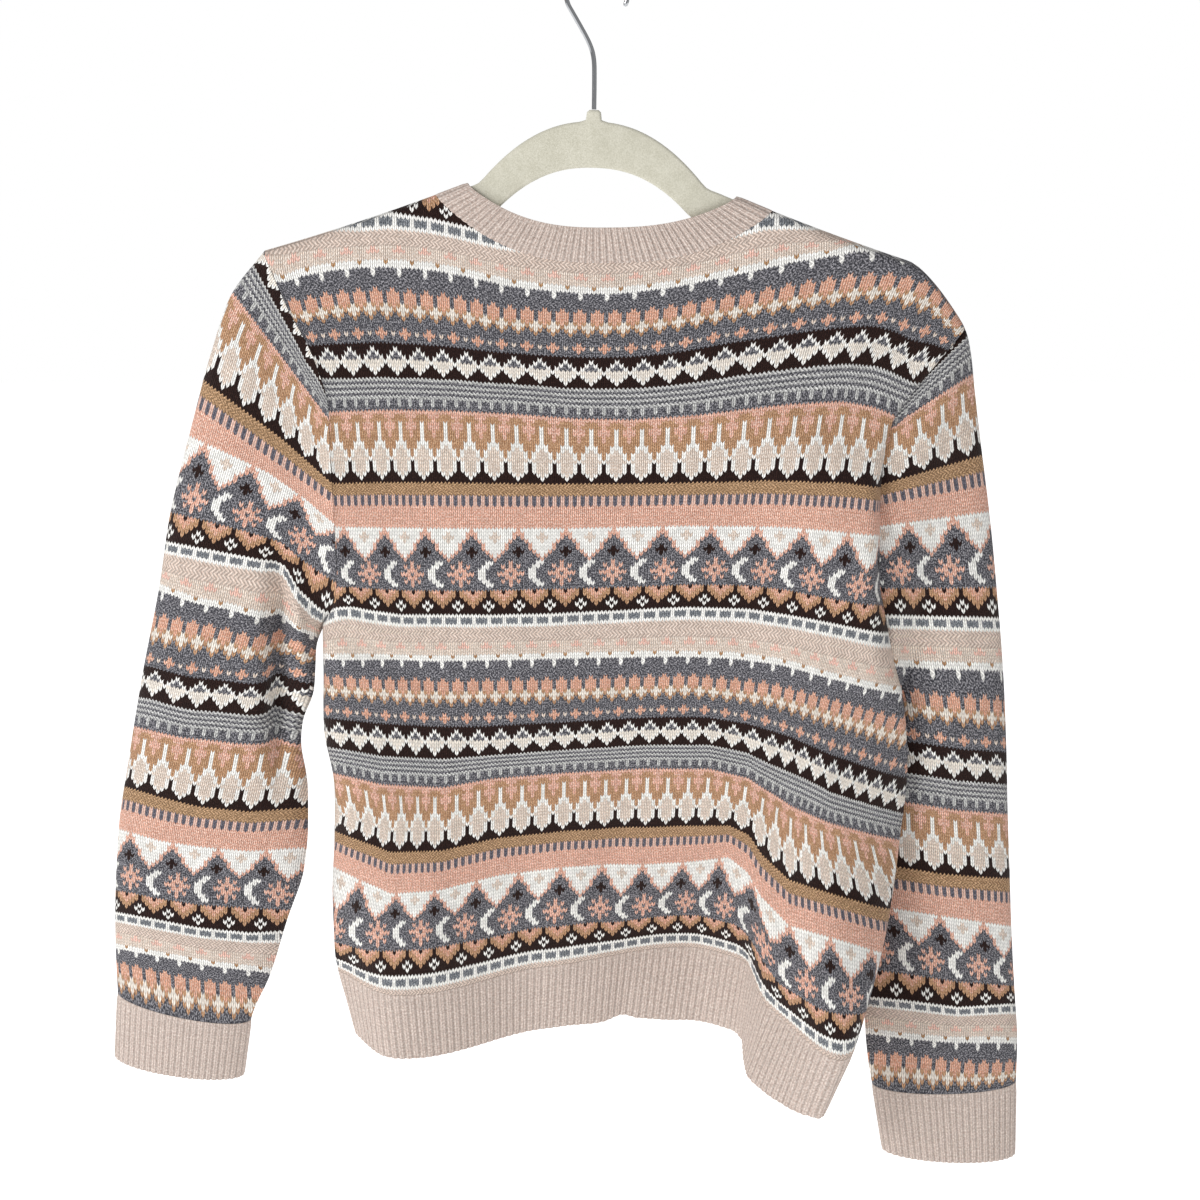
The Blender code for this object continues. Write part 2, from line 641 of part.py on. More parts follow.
def ribs(rows, count):
    """Outside rise of a 1x1 rib: crest and furrow turn about, the same in each row."""
    return np.tile(np.where(np.arange(count) % 2 == 0, RIB_RISE, 0.0), (rows + 1, 1))


def finish_material(name, color, roughness, metallic):
    material = bpy.data.materials.new(name)
    material.use_nodes = True
    shader = material.node_tree.nodes["Principled BSDF"]
    shader.inputs["Base Color"].default_value = (*color, 1)
    shader.inputs["Roughness"].default_value = roughness
    shader.inputs["Metallic"].default_value = metallic
    return material


def hanger_outline():
    """Half of the upright hanger's outline, from the nub's middle out and back underneath."""
    nub = [(0.0, NUB_TOP), (0.30 * NUB_WIDTH, NUB_TOP), (0.46 * NUB_WIDTH, NUB_TOP - 0.0015),
           (0.52 * NUB_WIDTH, float(arch(ARCH_OUTER, 0.52 * NUB_WIDTH)) + 0.0010)]
    top = []
    for x in np.linspace(0.0095, HANGER_REACH - HANGER_END_ROUND, 26):
        over, wing = float(arch(ARCH_OUTER, x)), float(wing_top(x))
        top.append((x, max(over, wing) if abs(over - wing) > 0.002 else (over + wing) / 2 + 0.0006))
    end = []
    low_end = float(wing_top(HANGER_REACH)) - WING_HEIGHT[1]
    for turn in np.radians([25, 50, 75]):
        end.append((HANGER_REACH - HANGER_END_ROUND * (1 - math.sin(turn)),
                    float(wing_top(HANGER_REACH)) - HANGER_END_ROUND * (1 - math.cos(turn))))
    end.append((HANGER_REACH - 0.004, low_end - 0.001))
    under = []
    for x in np.linspace(HANGER_REACH - 0.012, 0.0, 26):
        share = (x - WING_START[0]) / (HANGER_REACH - WING_START[0])
        tall = WING_HEIGHT[0] + (WING_HEIGHT[1] - WING_HEIGHT[0]) * min(max(share, 0), 1)
        under.append((x, max(float(arch(ARCH_INNER, x)), float(wing_top(x)) - tall)))
    return nub + top + end + under


def make_hanger(material):
    """Flat flocked hanger: its outline, thickened, with rounded edges."""
    half = hanger_outline()
    outline = half + [(-x, z) for x, z in half[-2:0:-1]]
    mesh = bmesh.new()
    turned = [tilted(x, z) for x, z in outline]
    face = mesh.faces.new([mesh.verts.new((x, -HANGER_THICK / 2, z)) for x, z in turned])
    grown = bmesh.ops.extrude_face_region(mesh, geom=[face])
    moved = [v for v in grown["geom"] if isinstance(v, bmesh.types.BMVert)]
    bmesh.ops.translate(mesh, verts=moved, vec=(0, HANGER_THICK, 0))
    rims = [e for e in mesh.edges if abs(e.verts[0].co.y - e.verts[1].co.y) < 1e-6]
    bmesh.ops.bevel(mesh, geom=rims, offset=HANGER_EDGE, segments=2, profile=0.5,
                    affect="EDGES", clamp_overlap=True)
    finish("hanger", mesh, material)


def hook_path():
    """Middle line of the hook's wire, from its open end over the top and down to the nub."""
    centre = -(HOOK_RADIUS - WIRE / 2)
    turn = np.linspace(HOOK_OPEN_END, HOOK_LAST, 26)
    bow = [(HOOK_RADIUS * math.cos(a), centre + HOOK_RADIUS * math.sin(a)) for a in turn]
    foot = tilted(0, NUB_TOP + SEAM)
    return bow + list(STEM_TURN) + [foot]


def make_hook(material):
    """Bent wire with a rounded open end."""
    line = evenly(smooth_path(hook_path()), WIRE_POINTS)
    along = unit(np.gradient(line, axis=0))
    mesh = bmesh.new()
    rings = []
    for i, (x, z) in enumerate(line):
        radius = WIRE / 2 * (0.6 if i == 0 else 1)
        ring = []
        for k in range(WIRE_SIDES):
            a = 2 * math.pi * k / WIRE_SIDES
            side = radius * math.cos(a)
            ring.append(mesh.verts.new((x + side * along[i][1], radius * math.sin(a),
                                        z - side * along[i][0])))
        rings.append(ring)
    for a, b in zip(rings, rings[1:]):
        for k in range(WIRE_SIDES):
            j = (k + 1) % WIRE_SIDES
            mesh.faces.new((a[k], a[j], b[j], b[k]))
    mesh.faces.new(rings[0])
    mesh.faces.new(rings[-1])
    finish("hanger_hook", mesh, material)


def smooth_path(points):
    """A rounded path through points, by two rounds of corner cutting."""
    points = np.array(points, float)
    for _ in range(2):
        a, b = points[:-1], points[1:]
        cut = np.stack([a * 0.75 + b * 0.25, a * 0.25 + b * 0.75], 1).reshape(-1, 2)
        points = np.concatenate([points[:1], cut, points[-1:]])
    return points


def main():
    for thing in list(bpy.data.objects):
        bpy.data.objects.remove(thing)
    body_knit = finish_material("fair_isle_body", YARN["body"], 0.92, 0)
    sleeve_knit = finish_material("fair_isle_sleeve", YARN["sleeve"], 0.92, 0)
    rib = finish_material("marl_rib", YARN["marl"], 0.92, 0)
    for face in ("back", "front"):
        wall(face, *panel(face), body_knit, closed=False)
    for side in ("left", "right"):
        wall("sleeve_" + side, *sleeve(side), sleeve_knit, closed=True)
        wall("cuff_" + side, *cuff(side, 2 * CUFF_RIBS), rib, True, ribs(1, 2 * CUFF_RIBS))
    wall("hem_rib", *hem_rib(2 * HEM_RIBS), rib, True, ribs(1, 2 * HEM_RIBS))
    wall("neckband", *neckband(2 * NECK_RIBS), rib, True, ribs(1, 2 * NECK_RIBS))
    make_hanger(finish_material("flocked_hanger", YARN["flock"], 0.95, 0))
    make_hook(finish_material("chrome_wire", YARN["chrome"], 0.15, 1))


main()
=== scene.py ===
"""Looks of the fair isle jumper on its hanger: stranded knit, ribs, flock and wire."""
import functools
import math
import re

import bmesh
import bpy
import numpy as np
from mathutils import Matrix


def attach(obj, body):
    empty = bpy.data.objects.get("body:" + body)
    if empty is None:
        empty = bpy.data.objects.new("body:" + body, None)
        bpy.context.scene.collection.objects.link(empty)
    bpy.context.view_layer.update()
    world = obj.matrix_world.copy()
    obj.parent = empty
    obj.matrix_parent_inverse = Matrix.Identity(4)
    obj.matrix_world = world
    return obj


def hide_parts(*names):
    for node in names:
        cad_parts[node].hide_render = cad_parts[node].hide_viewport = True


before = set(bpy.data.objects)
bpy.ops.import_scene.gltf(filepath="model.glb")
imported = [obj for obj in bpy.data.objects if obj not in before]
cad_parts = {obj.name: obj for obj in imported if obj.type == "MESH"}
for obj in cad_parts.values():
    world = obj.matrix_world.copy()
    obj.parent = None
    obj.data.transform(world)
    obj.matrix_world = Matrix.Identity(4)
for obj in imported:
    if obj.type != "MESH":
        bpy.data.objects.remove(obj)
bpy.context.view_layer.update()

BACK, FRONT = 0, 1


def mm(rows, other=None):
    """A table of millimetres, in metres. The column other holds something else."""
    return [[v if k == other else v / 1000 for k, v in enumerate(row)] for row in rows]


# All lengths are in metres, apart from those in the tables that mm() reads.
# Cloth, seams and ribs
WALL = 0.0020
SEAM = 0.0003
RIB_RISE = 0.0006
RIB_ROUND = 0.45
RIB_START = 0.16  # share of its depth over which a rib rises at its top
HEM_RIBS = 200
CUFF_RIBS = 48
NECK_RIBS = 100
HEM_DEPTH = 0.051

# Hanger, in its own upright frame below the hook
HANGER_TILT = math.radians(1.2)
HANGER_THICK = 0.0050
HANGER_EDGE = 0.0020
HANGER_REACH = 0.2170
HANGER_END_ROUND = 0.0140
WING_START = (0.0840, -0.1415)
WING_DROP = 0.0455
WING_SAG = 0.0060
WING_HEIGHT = (0.0220, 0.0130)
# Where the arm's top meets the arch: how near they come to each other, and how high it is filled
WING_JOIN = (0.0020, 0.0006)
ARCH_OUTER = (-0.0975, 12.24, 2.2)
ARCH_INNER = (-0.1268, 16.30, 2.3)
NUB_WIDTH = 0.0100
NUB_TOP = -0.0903
# Outline of the nub: shares of its width and how far below its top, and where it ends on the
# arch. Then where the top edge starts, how the end's last corner is cut, and where the underside
# starts.
NUB_SHAPE = ((0.0, 0.0), (0.30, 0.0), (0.46, 0.0015))
NUB_FOOT = (0.52, 0.0010)
TOP_START = 0.0095
END_CORNER = (0.0040, 0.0010)
UNDER_START = 0.0120
END_TURNS = np.radians([15, 30, 45, 60, 75])

# Hook, a round wire
WIRE = 0.0030
HOOK_RADIUS = 0.0198
HOOK_OPEN_END = math.radians(-25)
HOOK_LAST = math.radians(205)
STEM_TURN = ((-0.0121, -0.0362), (-0.0046, -0.0490), (-0.0017, -0.0580), (-0.0016, -0.0720))

# Cloth over the hanger
REST_GAP = 0.0018
ROLL = 0.0060
SHOULDER_DROP = (0.2080, 4.60, 1.56)

# Neckline and neckband: where they meet the shoulder line, and lowest on the back and front
NECK_CORNERS = (-0.1060, 0.1155)
NECK_LOW = (-0.1875, -0.2360)
BAND_CORNERS = (-0.0850, 0.0920)
BAND_LOW = (-0.1647, -0.2130)
NECK_CURVE = (2.6, 2.1)
BAND_GIRTH = 0.0060

# Middle depth of the two body panels: height, back, front
PANEL_DEPTH = mm((
    (-140, -6, 6), (-195, -7.4, 7.4), (-250, -13, 14), (-320, -19, 21),
    (-420, -20, 30), (-500, -14, 38), (-600, -3, 48), (-680, 9, 60),
    (-740, 16, 70), (-800, 10, 68)))

# Body's edges: height, furthest x, width of the turn, how far it laps round in degrees past
# square, depth of the seam on the back and on the front
LEFT_EDGE = mm((
    (-180.5, -221, 4, -60, -6, 6), (-217, -206.5, 4, -60, -10, 10),
    (-248, -191, 4, -60, -14, 14), (-286, -181.2, 4, -60, -18, 18),
    (-350, -180.5, 4, -60, -20.5, 22), (-400, -179.7, 8, -60, -19, 24),
    (-425, -185, 14, -50, -12, 18), (-440, -194.5, 14, 0, 3, 3),
    (-470, -195.5, 14, 0, 5, 5), (-520, -198, 16, 0, 7, 7),
    (-564, -193, 18, 0, 9, 9), (-606, -195, 20, 0, 11, 11),
    (-660, -199.5, 22, 0, 14, 14), (-705, -200.2, 24, 0, 16, 16),
    (-735, -196.5, 26, 0, 16, 16), (-760, -192, 26, 0, 15, 15),
    (-785, -182, 26, 0, 14, 14)), other=3)
RIGHT_EDGE = mm((
    (-231.5, 246, 6, -60, -7, 7), (-257.6, 224.4, 8, -60, -12, 12),
    (-275, 211, 10, -55, -12, 16), (-295, 198.7, 14, -50, -14, 18),
    (-335, 193.3, 18, -50, -16, 21), (-400, 195.3, 20, -50, -16, 22),
    (-440, 203.3, 24, -50, -15, 18), (-464, 209, 26, -45, -13, 6),
    (-484, 215, 30, 20, -12, -12), (-520, 220.5, 32, 45, -13, -13),
    (-542, 222, 32, 52, -13, -13), (-608, 217.5, 32, 55, -13, -13),
    (-652, 211.5, 30, 50, -12, -12), (-684, 204.5, 26, 40, -10, -10),
    (-706.7, 198.5, 24, 30, -8, -8), (-735.6, 191.5, 22, 15, -4, -4),
    (-768, 181, 22, 5, 0, 0), (-792, 171, 22, 0, 2, 2)), other=3)
# The front turns more widely below the armpits: how widely, and over what height that comes in
FRONT_TURN = 0.055
FRONT_TURN_FADE = (0.08, 0.05)
LEFT_ARMPIT = -0.4400
RIGHT_ARMPIT = -0.4840

# Folds of the panels: middle x, reach to the left and right of it, depth at full strength,
# height where it starts and where it is full
BACK_FOLDS = mm((
    (-150, 60, 110, -34, -450, -755), (70, 110, 60, 22, -520, -730),
    (172, 58, 120, -52, -480, -740), (172, 80, 120, -16, -270, -360),
    (20, 120, 120, 6, -240, -330)))
FRONT_FOLDS = mm((
    (-90, 80, 80, 12, -450, -740), (80, 90, 90, -12, -450, -740)))
# The sharp pleat beside the right-hand lobe: middle x, half width, depth, start, full
PLEAT = (0.1190, 0.0070, -0.040, -0.580, -0.735)
# How far the pleat swings over and deepens down the rib, between two heights
PLEAT_SWAY = (0.0070, 0.0060, -0.722, -0.786)

# Bottom of the hem, from the left seam to the right: share of the way, back, front
HEM_LINE = mm((
    (0, -774, -774), (0.15, -776.5, -775), (0.4, -769, -772), (0.62, -765.5, -770),
    (0.68, -773.5, -771.5), (0.76, -779, -775), (0.88, -787.5, -784), (1, -789, -789)), other=0)
# How the back's bottom edge hangs off that line in the middle and in the lobe: share of the
# way, drop, how far it comes out and how far it leans to the left
HEM_HANG = mm((
    (0, 0, 0, 0), (0.333, 1, 0, 0), (0.389, 3, 2, 0), (0.417, 1, 0.6, 0),
    (0.444, 5, 4, 0), (0.5, 8, 8, 0), (0.556, 8, 8, 0), (0.606, 7, 8, 0),
    (0.622, 6, 6, 0.5), (0.639, 7, 5, 2), (0.656, 7, 6, 3.5), (0.689, 5.5, 10, 5),
    (0.722, 6, 10, 4.5), (0.756, 6, 7, 1.5), (0.789, 4, 1, 0), (0.822, 1, -6, 0),
    (0.839, 1, -6, 0), (0.872, 0, -2, 0), (0.92, 0, 0, 0), (1, 0, 0, 0)), other=0)

# Sleeves below the armhole: overarm x and z, underarm x and z, middle depth, half depth.
# The last two rows are the cuff's top and bottom.
LEFT_SLEEVE = mm((
    (-245, -210, -201.5, -456, 0, 14), (-260.5, -247.5, -204, -472, 0, 16),
    (-277.5, -297.5, -208.5, -490, 1, 18), (-297.3, -360.7, -214.5, -515, 2, 20),
    (-308.9, -413.6, -216, -535, 2, 21), (-326.1, -479.9, -213.5, -564, 2, 22),
    (-339.4, -538.3, -214.5, -595, 1, 22), (-352.5, -600.7, -219, -630, 0, 22),
    (-359, -662.4, -233, -670, -3, 21), (-361.2, -700, -248, -715, -4, 20),
    (-362, -729, -264.5, -752.5, -5, 18), (-368, -782, -272.5, -798.5, -6, 17)))
RIGHT_SLEEVE = mm((
    (253.5, -248, 218, -498, 6, 13), (259, -276, 217, -512, 9, 14),
    (265.5, -311, 215.5, -528, 10, 15), (274.5, -358, 212.5, -548, 11, 16),
    (283, -410, 209, -568, 11, 17), (291.3, -468.6, 206.5, -595, 10, 18),
    (299, -537, 203, -625, 10, 18), (304, -595, 202.5, -655, 9, 19),
    (308, -645, 203, -690, 6, 20), (311.5, -686.5, 204, -725, 2, 20),
    (315.5, -730, 205.5, -760, -3, 19), (319, -770, 208, -785, -8, 18),
    (319, -800, 211, -803, -13, 17), (321, -860, 220.5, -856, -18, 16)))
SLEEVES = {"left": LEFT_SLEEVE, "right": RIGHT_SLEEVE}
WAY_ROUND = {"left": 1, "right": -1}
ARMHOLE_HALF_DEPTH = 0.010
# How fast the armhole's bow and its uneven angles fade out down the sleeve
ARMHOLE_FADES = (2.0, 0.35)

# Where a sleeve turns under at the armpit: how far it stands clear of the seam there, and
# between which angles round the armhole that comes in
ARMPIT = {
    "left": ((-0.0008, 0.0, 0.0), 0.62 * math.pi, 0.88 * math.pi),
    "right": ((0.0012, 0.001, 0.0), 0.60 * math.pi, 0.88 * math.pi),
}

# Soft creases: x and z of one end, x and z of the other, width, height (a trough is negative)
BACK_CREASES = mm((
    (-192, -440, -120, -474, 10, -1.8), (-188, -462, -95, -505, 12, 1.5),
    (-176, -310, -118, -352, 15, -1), (-80, -232, -150, -290, 17, -1.1),
    (98, -240, 172, -304, 16, -1.2), (186, -332, 96, -392, 14, -1.5),
    (190, -366, 118, -434, 13, 1.3), (198, -500, 108, -604, 16, -2.2),
    (126, -520, 52, -664, 18, 1.9), (28, -566, -12, -704, 14, -1.6),
    (-164, -584, -148, -712, 14, -1.9), (-118, -606, -126, -704, 12, 1.4)))
FRONT_CREASES = mm((
    (-150, -448, -80, -492, 11, -1.6), (-160, -330, -90, -380, 15, -1.1),
    (150, -340, 80, -404, 14, -1.4), (156, -476, 70, -540, 14, -1.7),
    (140, -530, 62, -650, 17, 1.6), (10, -520, -30, -672, 16, -1.5),
    (-120, -560, -104, -700, 15, -1.8), (-66, -590, -80, -690, 13, 1.3)))
LEFT_SLEEVE_CREASES = mm((
    (-222, -432, -268, -404, 10, -1.6), (-224, -462, -276, -449, 10, 1.3),
    (-228, -500, -300, -532, 12, -1.5), (-234, -574, -312, -561, 12, 1.3),
    (-334, -604, -256, -640, 12, -1.5), (-342, -664, -272, -688, 10, 1.2),
    (-222, -402, -229, -536, 7, -15), (-211, -414, -209, -500, 5.5, 4.2),
    (-240, -416, -250, -520, 10, 2)))
RIGHT_SLEEVE_CREASES = mm((
    (232, -402, 276, -432, 11, -1.3), (226, -472, 284, -492, 11, 1.3),
    (216, -562, 290, -581, 12, -1.5), (226, -642, 302, -630, 12, 1.2),
    (220, -718, 300, -706, 10, -1.3), (226, -762, 310, -776, 9, 1)))
SLEEVE_CREASES = {"left": LEFT_SLEEVE_CREASES, "right": RIGHT_SLEEVE_CREASES}
# How far a crease runs past its ends, the share of it where it is full, the rows over which it
# fades at a seam, and how much lower and softer it is on the far side
CREASE_PAST = 0.3
CREASE_FULL = 0.25
CREASE_FADE = 8
CREASE_HIDDEN = (0.021, 0.8)

# Mesh fineness
PANEL_COLUMNS = (40, 90, 50)
NECK_ROLL = (0.0015, 0.003, 0.005, 0.008, 0.0115, 0.015, 0.020, 0.026, 0.034)
PANEL_ROWS = (8, 44, 76)
SLEEVE_ROWS = 150
SECTION_POINTS = 90  # of a panel's rough cut, before it is spaced evenly
FINE_SECTION = 720
CUT_HEIGHTS = np.linspace(-0.142, -0.760, 160)
CURVE_POINTS = 361
RIB_COLUMNS = 6
RIB_ROWS = 14
HANGER_POINTS = 60
HOOK_POINTS = 60
WIRE_POINTS = 180
WIRE_SIDES = 20
TIP_RINGS = 2  # over which the hook's open end is rounded off
TIP_START = 0.25  # share of a ring's step by which the first one stands past the very tip
BEVEL_STEPS = 4
SAME_DEPTH = 1e-6
PIT_ROW = PANEL_ROWS[0] + PANEL_ROWS[1]
SETTLE_ROUNDS = 40
ON_SHOULDER = 0.001  # how near to the middle a panel's top edge counts as on the shoulder line
SHARP = math.radians(50)
RIB_SHARP = math.radians(60)

# The eye for which the knit's stripes are laid out, 1.1 m behind the hanger. A point is sighted
# across and down a sheet 1200 wide, SIGHT_LENGTH in front of the eye.
EYE = (0.002, -1.10, -0.107)
EYE_PITCH = math.radians(16)
SIGHT_LENGTH = 1616.0
SHEET = 1200.0

# How the courses are spaced down the middle of the back: course, height on the sheet
SPACING = (
    (-20, 190), (-4, 245), (0, 259), (4, 273), (8, 285), (10, 292), (15, 310), (20, 326), (23, 337),
    (29, 356), (38, 387), (45, 405), (48, 416), (67, 484), (71, 495.5), (74, 506), (80, 528),
    (89, 559), (97, 587), (104, 610.5), (108, 622), (112, 637), (116, 649), (118, 655),
    (123, 674), (128, 690), (131, 701), (137, 720), (146, 750), (153, 765), (156, 775),
    (175, 832), (179, 842), (182, 850), (188, 867), (197, 897), (205, 924), (212, 944),
    (216, 955), (218, 960), (240, 1030),
)

# Stripes: course, then across and down for each point that it passes through on the sheet
BACK_STRIPES = (
    (-2,  359, 224,  389, 221,  409, 223,  432, 226,  455, 231,  500, 242,  597, 253,  690, 243,
     740, 228,  764, 222,  782, 222,  796, 223,  860, 232),
    (8.5,  286, 277,  302, 270,  329, 265,  355, 262,  382, 261,  407, 262,  433, 264,  459, 269,
     486, 275,  511, 281,  538, 284.5,  565, 287,  591, 289,  618, 289,  645, 286,  676, 282,
     704, 276,  732, 270.5,  761, 264,  790, 257,  822, 252,  854, 246,  885, 248,  920, 258),
    (17.5,  304, 306,  326, 301,  349, 298,  375, 296,  402, 298,  427, 301,  452, 303,  476, 308,
     501, 313,  540, 316,  592, 318,  630, 317,  666, 313,  718, 304.5,  764, 296,  806, 289,
     834, 285,  862, 281.5,  890, 280,  916, 284.5,  932, 292.5,  945, 310,  956, 323),
    (33.5,  316, 362,  382, 361,  415, 362,  448, 364,  481, 367,  515, 369,  562, 372.5,
     597, 373.5,  639, 372.5,  668, 370,  695, 366,  720, 361,  746, 357,  773, 353.6,
     801, 349.4,  825, 346.6,  851, 344.5,  875, 344.5,  894, 351.5,  913, 364),
    (48,  326, 412,  382, 410,  448, 410.6,  515, 414,  574, 418.5,  631, 419.5,  701, 415,
     736, 410.4,  788, 404.5,  841, 401.5,  872, 407,  901, 418.4),
    (67,  332, 484,  382, 482.6,  448, 483,  541, 484,  600, 484,  688, 483,  770, 481,  851, 484,
     878, 488),
    (80,  337, 526.5,  443, 528,  566, 528,  688, 525.5,  770, 526.5,  831, 530.6,  876, 535),
    (92.5,  350, 573.5,  434, 574.3,  483, 574.3,  534, 572.7,  584, 572,  635, 571,  685, 569.4,
     737, 569.4,  786, 572.7,  834, 582.4,  860, 587),
    (106,  316, 625,  326, 619,  338, 612,  351, 611,  368, 615,  402, 620,  484, 620.4,
     541, 619.6,  606, 616.3,  688, 612,  749, 614,  790, 620.4,  831, 628.6,  880, 639),
    (116.5,  330, 655,  378, 656,  440, 656.5,  509, 655,  588, 653,  643, 652,  688, 652,
     732, 653,  776, 659,  794, 663,  831, 673.5,  855, 679.6,  892, 688),
    (125.5,  333, 680,  443, 685.7,  566, 683.7,  688, 679.6,  770, 688,  831, 704,  892, 722.4),
    (141.5,  333, 733,  382, 739,  433, 741.6,  484, 741.6,  566, 736,  647, 730.6,  709, 730.6,
     749, 738,  790, 752,  831, 775,  880, 791,  900, 797),
    (156,  333, 772,  382, 784,  443, 787,  492, 778,  566, 772,  647, 768,  709, 768,  749, 776,
     790, 806.5,  831, 823,  872, 834,  900, 840),
    (188,  335, 866,  362, 880,  390, 894,  443, 888,  500, 874,  566, 866,  647, 863,  688, 859,
     729, 856,  749, 872,  762, 896,  790, 925,  831, 937,  876, 951),
    (200.5,  364, 933,  394, 933,  443, 927,  488, 921,  533, 911,  573, 909,  619, 908,
     657, 902,  698, 900,  737, 909,  752, 925,  765, 945,  780, 970,  823, 992),
)
BACK_LAST_COURSE = 217.8
SLEEVE_LAST_COURSE = 242.0

# Where wales of the back lie on the sheet: height, then how far across each of them is there
WALES = range(-72, 73, 24)
BACK_WALES = (
    (270, 305, 410, 512, 619.5, 734, 854, 975),
    (365, 329, 417.6, 511.8, 614.7, 720.8, 827, 913),
    (475, 339, 422, 516, 614, 714.7, 809.4, 899),
    (573, 345, 424, 516.5, 610.6, 705, 796, 886),
    (737, 357.5, 433, 521, 605.3, 690, 772, 841),
    (815, 368, 433, 520, 603.3, 685, 759.6, 818.8),
    (925, 353, 432, 514, 597.6, 676, 749.4, 829),
)

LEFT_STRIPES = (
    (29,  276, 252,  339, 368),
    (38,  254, 265,  317, 382),
    (45,  243, 284.5,  321.6, 401.6),
    (48,  236, 296,  325.6, 414),
    (67,  206, 382,  246, 412,  282.5, 439,  315.6, 468.6,  332, 484),
    (74,  199.5, 409,  336, 504.5),
    (80,  189.6, 435.4,  269, 472,  306, 498.5,  337, 526.7),
    (92.5,  174, 493,  199.5, 500,  249, 515,  281, 528,  316, 545,  339, 562),
    (104,  168, 541.6,  229, 553,  272.5, 561.5,  286, 568,  299, 588,  319, 608),
    (108,  166, 553,  230, 566,  272, 572,  284, 580,  295, 597,  312, 618),
    (116.5,  163, 586,  196, 598.7,  228, 604.6,  259, 613,  280, 618,  315, 633),
    (125.5,  155, 621,  199.5, 628,  249, 639.5,  299, 643,  315, 652),
    (134.5,  150, 658,  188, 667.7,  229, 672.6,  253, 674.3,  296, 671),
    (141.5,  153, 681,  173, 688,  194.5, 693,  216, 694,  257, 698,  296, 694.5),
    (156,  135, 726,  183, 737.6,  233, 743,  299, 744),
    (175,  128, 787,  160, 796,  199.5, 805.6,  249, 810.6,  306, 807),
    (188,  121.6, 829,  160, 840.5,  199.5, 846,  249, 850.4,  299, 847),
    (200.5,  133, 876,  155, 882,  203, 888,  248, 889,  272, 892),
    (212,  120, 912,  150, 917,  199.5, 927,  249, 932,  282, 930),
    (224.5,  130, 946.6,  213, 961.5,  256, 966.5),
    (233.5,  123, 966.5,  183, 981,  216, 986,  259, 991),
)
RIGHT_STRIPES = (
    (29,  900, 385,  951, 322),
    (38,  913, 388,  967.5, 335.5),
    (45,  908.6, 407.3,  969, 359.4),
    (48,  902, 418.4,  972, 374),
    (67,  883, 484,  982, 455),
    (74,  884.6, 503,  985, 485.4),
    (80,  884.6, 525,  990, 511),
    (92.5,  899, 570,  943.6, 570,  993, 566.7),
    (104,  888, 614.5,  999, 617.7),
    (116.5,  900.6, 661,  943, 662.4,  990, 664),
    (125.5,  906, 695.6,  933, 700.7,  962, 702.4,  994, 705.8),
    (134.5,  921, 734.5,  965, 741,  1005.6, 743),
    (141.5,  912, 756.5,  954, 763,  998, 766.6),
    (156,  906, 802,  958, 810.6,  1009, 814),
    (175,  896, 866,  941.4, 873,  1010.7, 878),
    (188,  891, 907,  941, 915,  1009, 925.5),
    (200.5,  896, 952.5,  938, 960.3,  986, 967.7),
    (212,  872, 996.5,  908, 1000,  958, 1006.6,  1009, 1003),
    (224.5,  870, 1028.6,  909, 1033.6,  951.5, 1037,  995.5, 1037),
    (233.5,  877, 1057,  924.5, 1060.7,  975, 1067.4,  1009, 1065.8),
)
SLEEVE_STRIPES = {"left": LEFT_STRIPES, "right": RIGHT_STRIPES}
# Least distances on the sheet between stripes and within one, and how squarely cloth has to face
# the eye for its wales to be sighted
STRIPES_APART = 0.01
LEAST_STRIPE = 0.5
FACING = 0.5
STRIPES_LEVEL = 0.25  # share of the front over which its stripes level out from the seams

# Stitch widths of the front, and of a sleeve at its armhole and its cuff; height of a rib's;
# and a sleeve's wale at its overarm line
FRONT_STITCH = 0.00275
SLEEVE_STITCH = (0.00285, 0.00255)
RIB_COURSE = 0.0026
FIRST_WALE = {"left": 6.0, "right": -12.0}

# Yarns: letter, colour, how much its flecks show, colour of the flecks
YARNS = {
    "o": ("#C9B5A8", 0.70, "#E2D3C8"),
    "c": ("#E2D8CC", 0.50, "#F2ECE4"),
    "w": ("#ECEAE5", 0.35, "#FAFAF8"),
    "g": ("#434349", 0.80, "#9D9BA0"),
    "d": ("#21120F", 0.45, "#3B2621"),
    "t": ("#AB8160", 0.70, "#D1AC8C"),
    "p": ("#CE967D", 0.75, "#E9C4B1"),
    "k": ("#D29C87", 0.80, "#EFCDBD"),
    "b": ("#D2BFB0", 0.70, "#EDE3D9"),
    "x": ("#54525C", 0.55, "#8C8890"),
    "i": ("#D3AB9B", 0.60, "#EBCFC3"),
    "l": ("#947556", 0.85, "#CBA683"),
    "q": ("#64686E", 0.65, "#A4A7AB"),
    "a": ("#A27B58", 0.50, "#C8A27C"),
    "v": ("#A3A3A2", 0.75, "#E2E1DE"),
    "h": ("#E0B2A2", 0.60, "#EFD3C8"),
}

# Plain stitches: a leg's middle and slant in stitches, how round it is and how much lower its
# ends are, and how a rib's legs differ
LEG_MIDDLE = 0.25
LEG_SLANT = 1.5
LEG_ROUND = 0.8
LEG_ENDS = 0.55
RIB_LEGS = 1.35
RIB_SLANT = 0.9
# Painted shading of the stitches: painted shade in the hollows and painted highlight on top, and
# painted shade in a rib's furrows; and for the unevenness of tone the least and how much more
PLAIN_PAINTED_SHADING = (0.40, 1.24)
PURL_PAINTED_SHADING = (0.66, 1.16)
RIB_PAINTED_SHADING = (0.78, 1.06)
FURROW_PAINTED_SHADE = 0.88
KNIT_UNEVEN = (0.90, 0.20)
RIB_UNEVEN = (0.95, 0.10)
# Where a purl bar, a furrow and a fleck start and are full
PURL_EDGES = (0.1, 0.8)
FURROW_EDGES = (0.38, 0.48)
FURROW_START = (0.8, 2.5)
FIBRE_EDGES = (0.46, 0.58)
FIBRE_STRETCH = 1.3
FIBRE_SCALE = 2.1
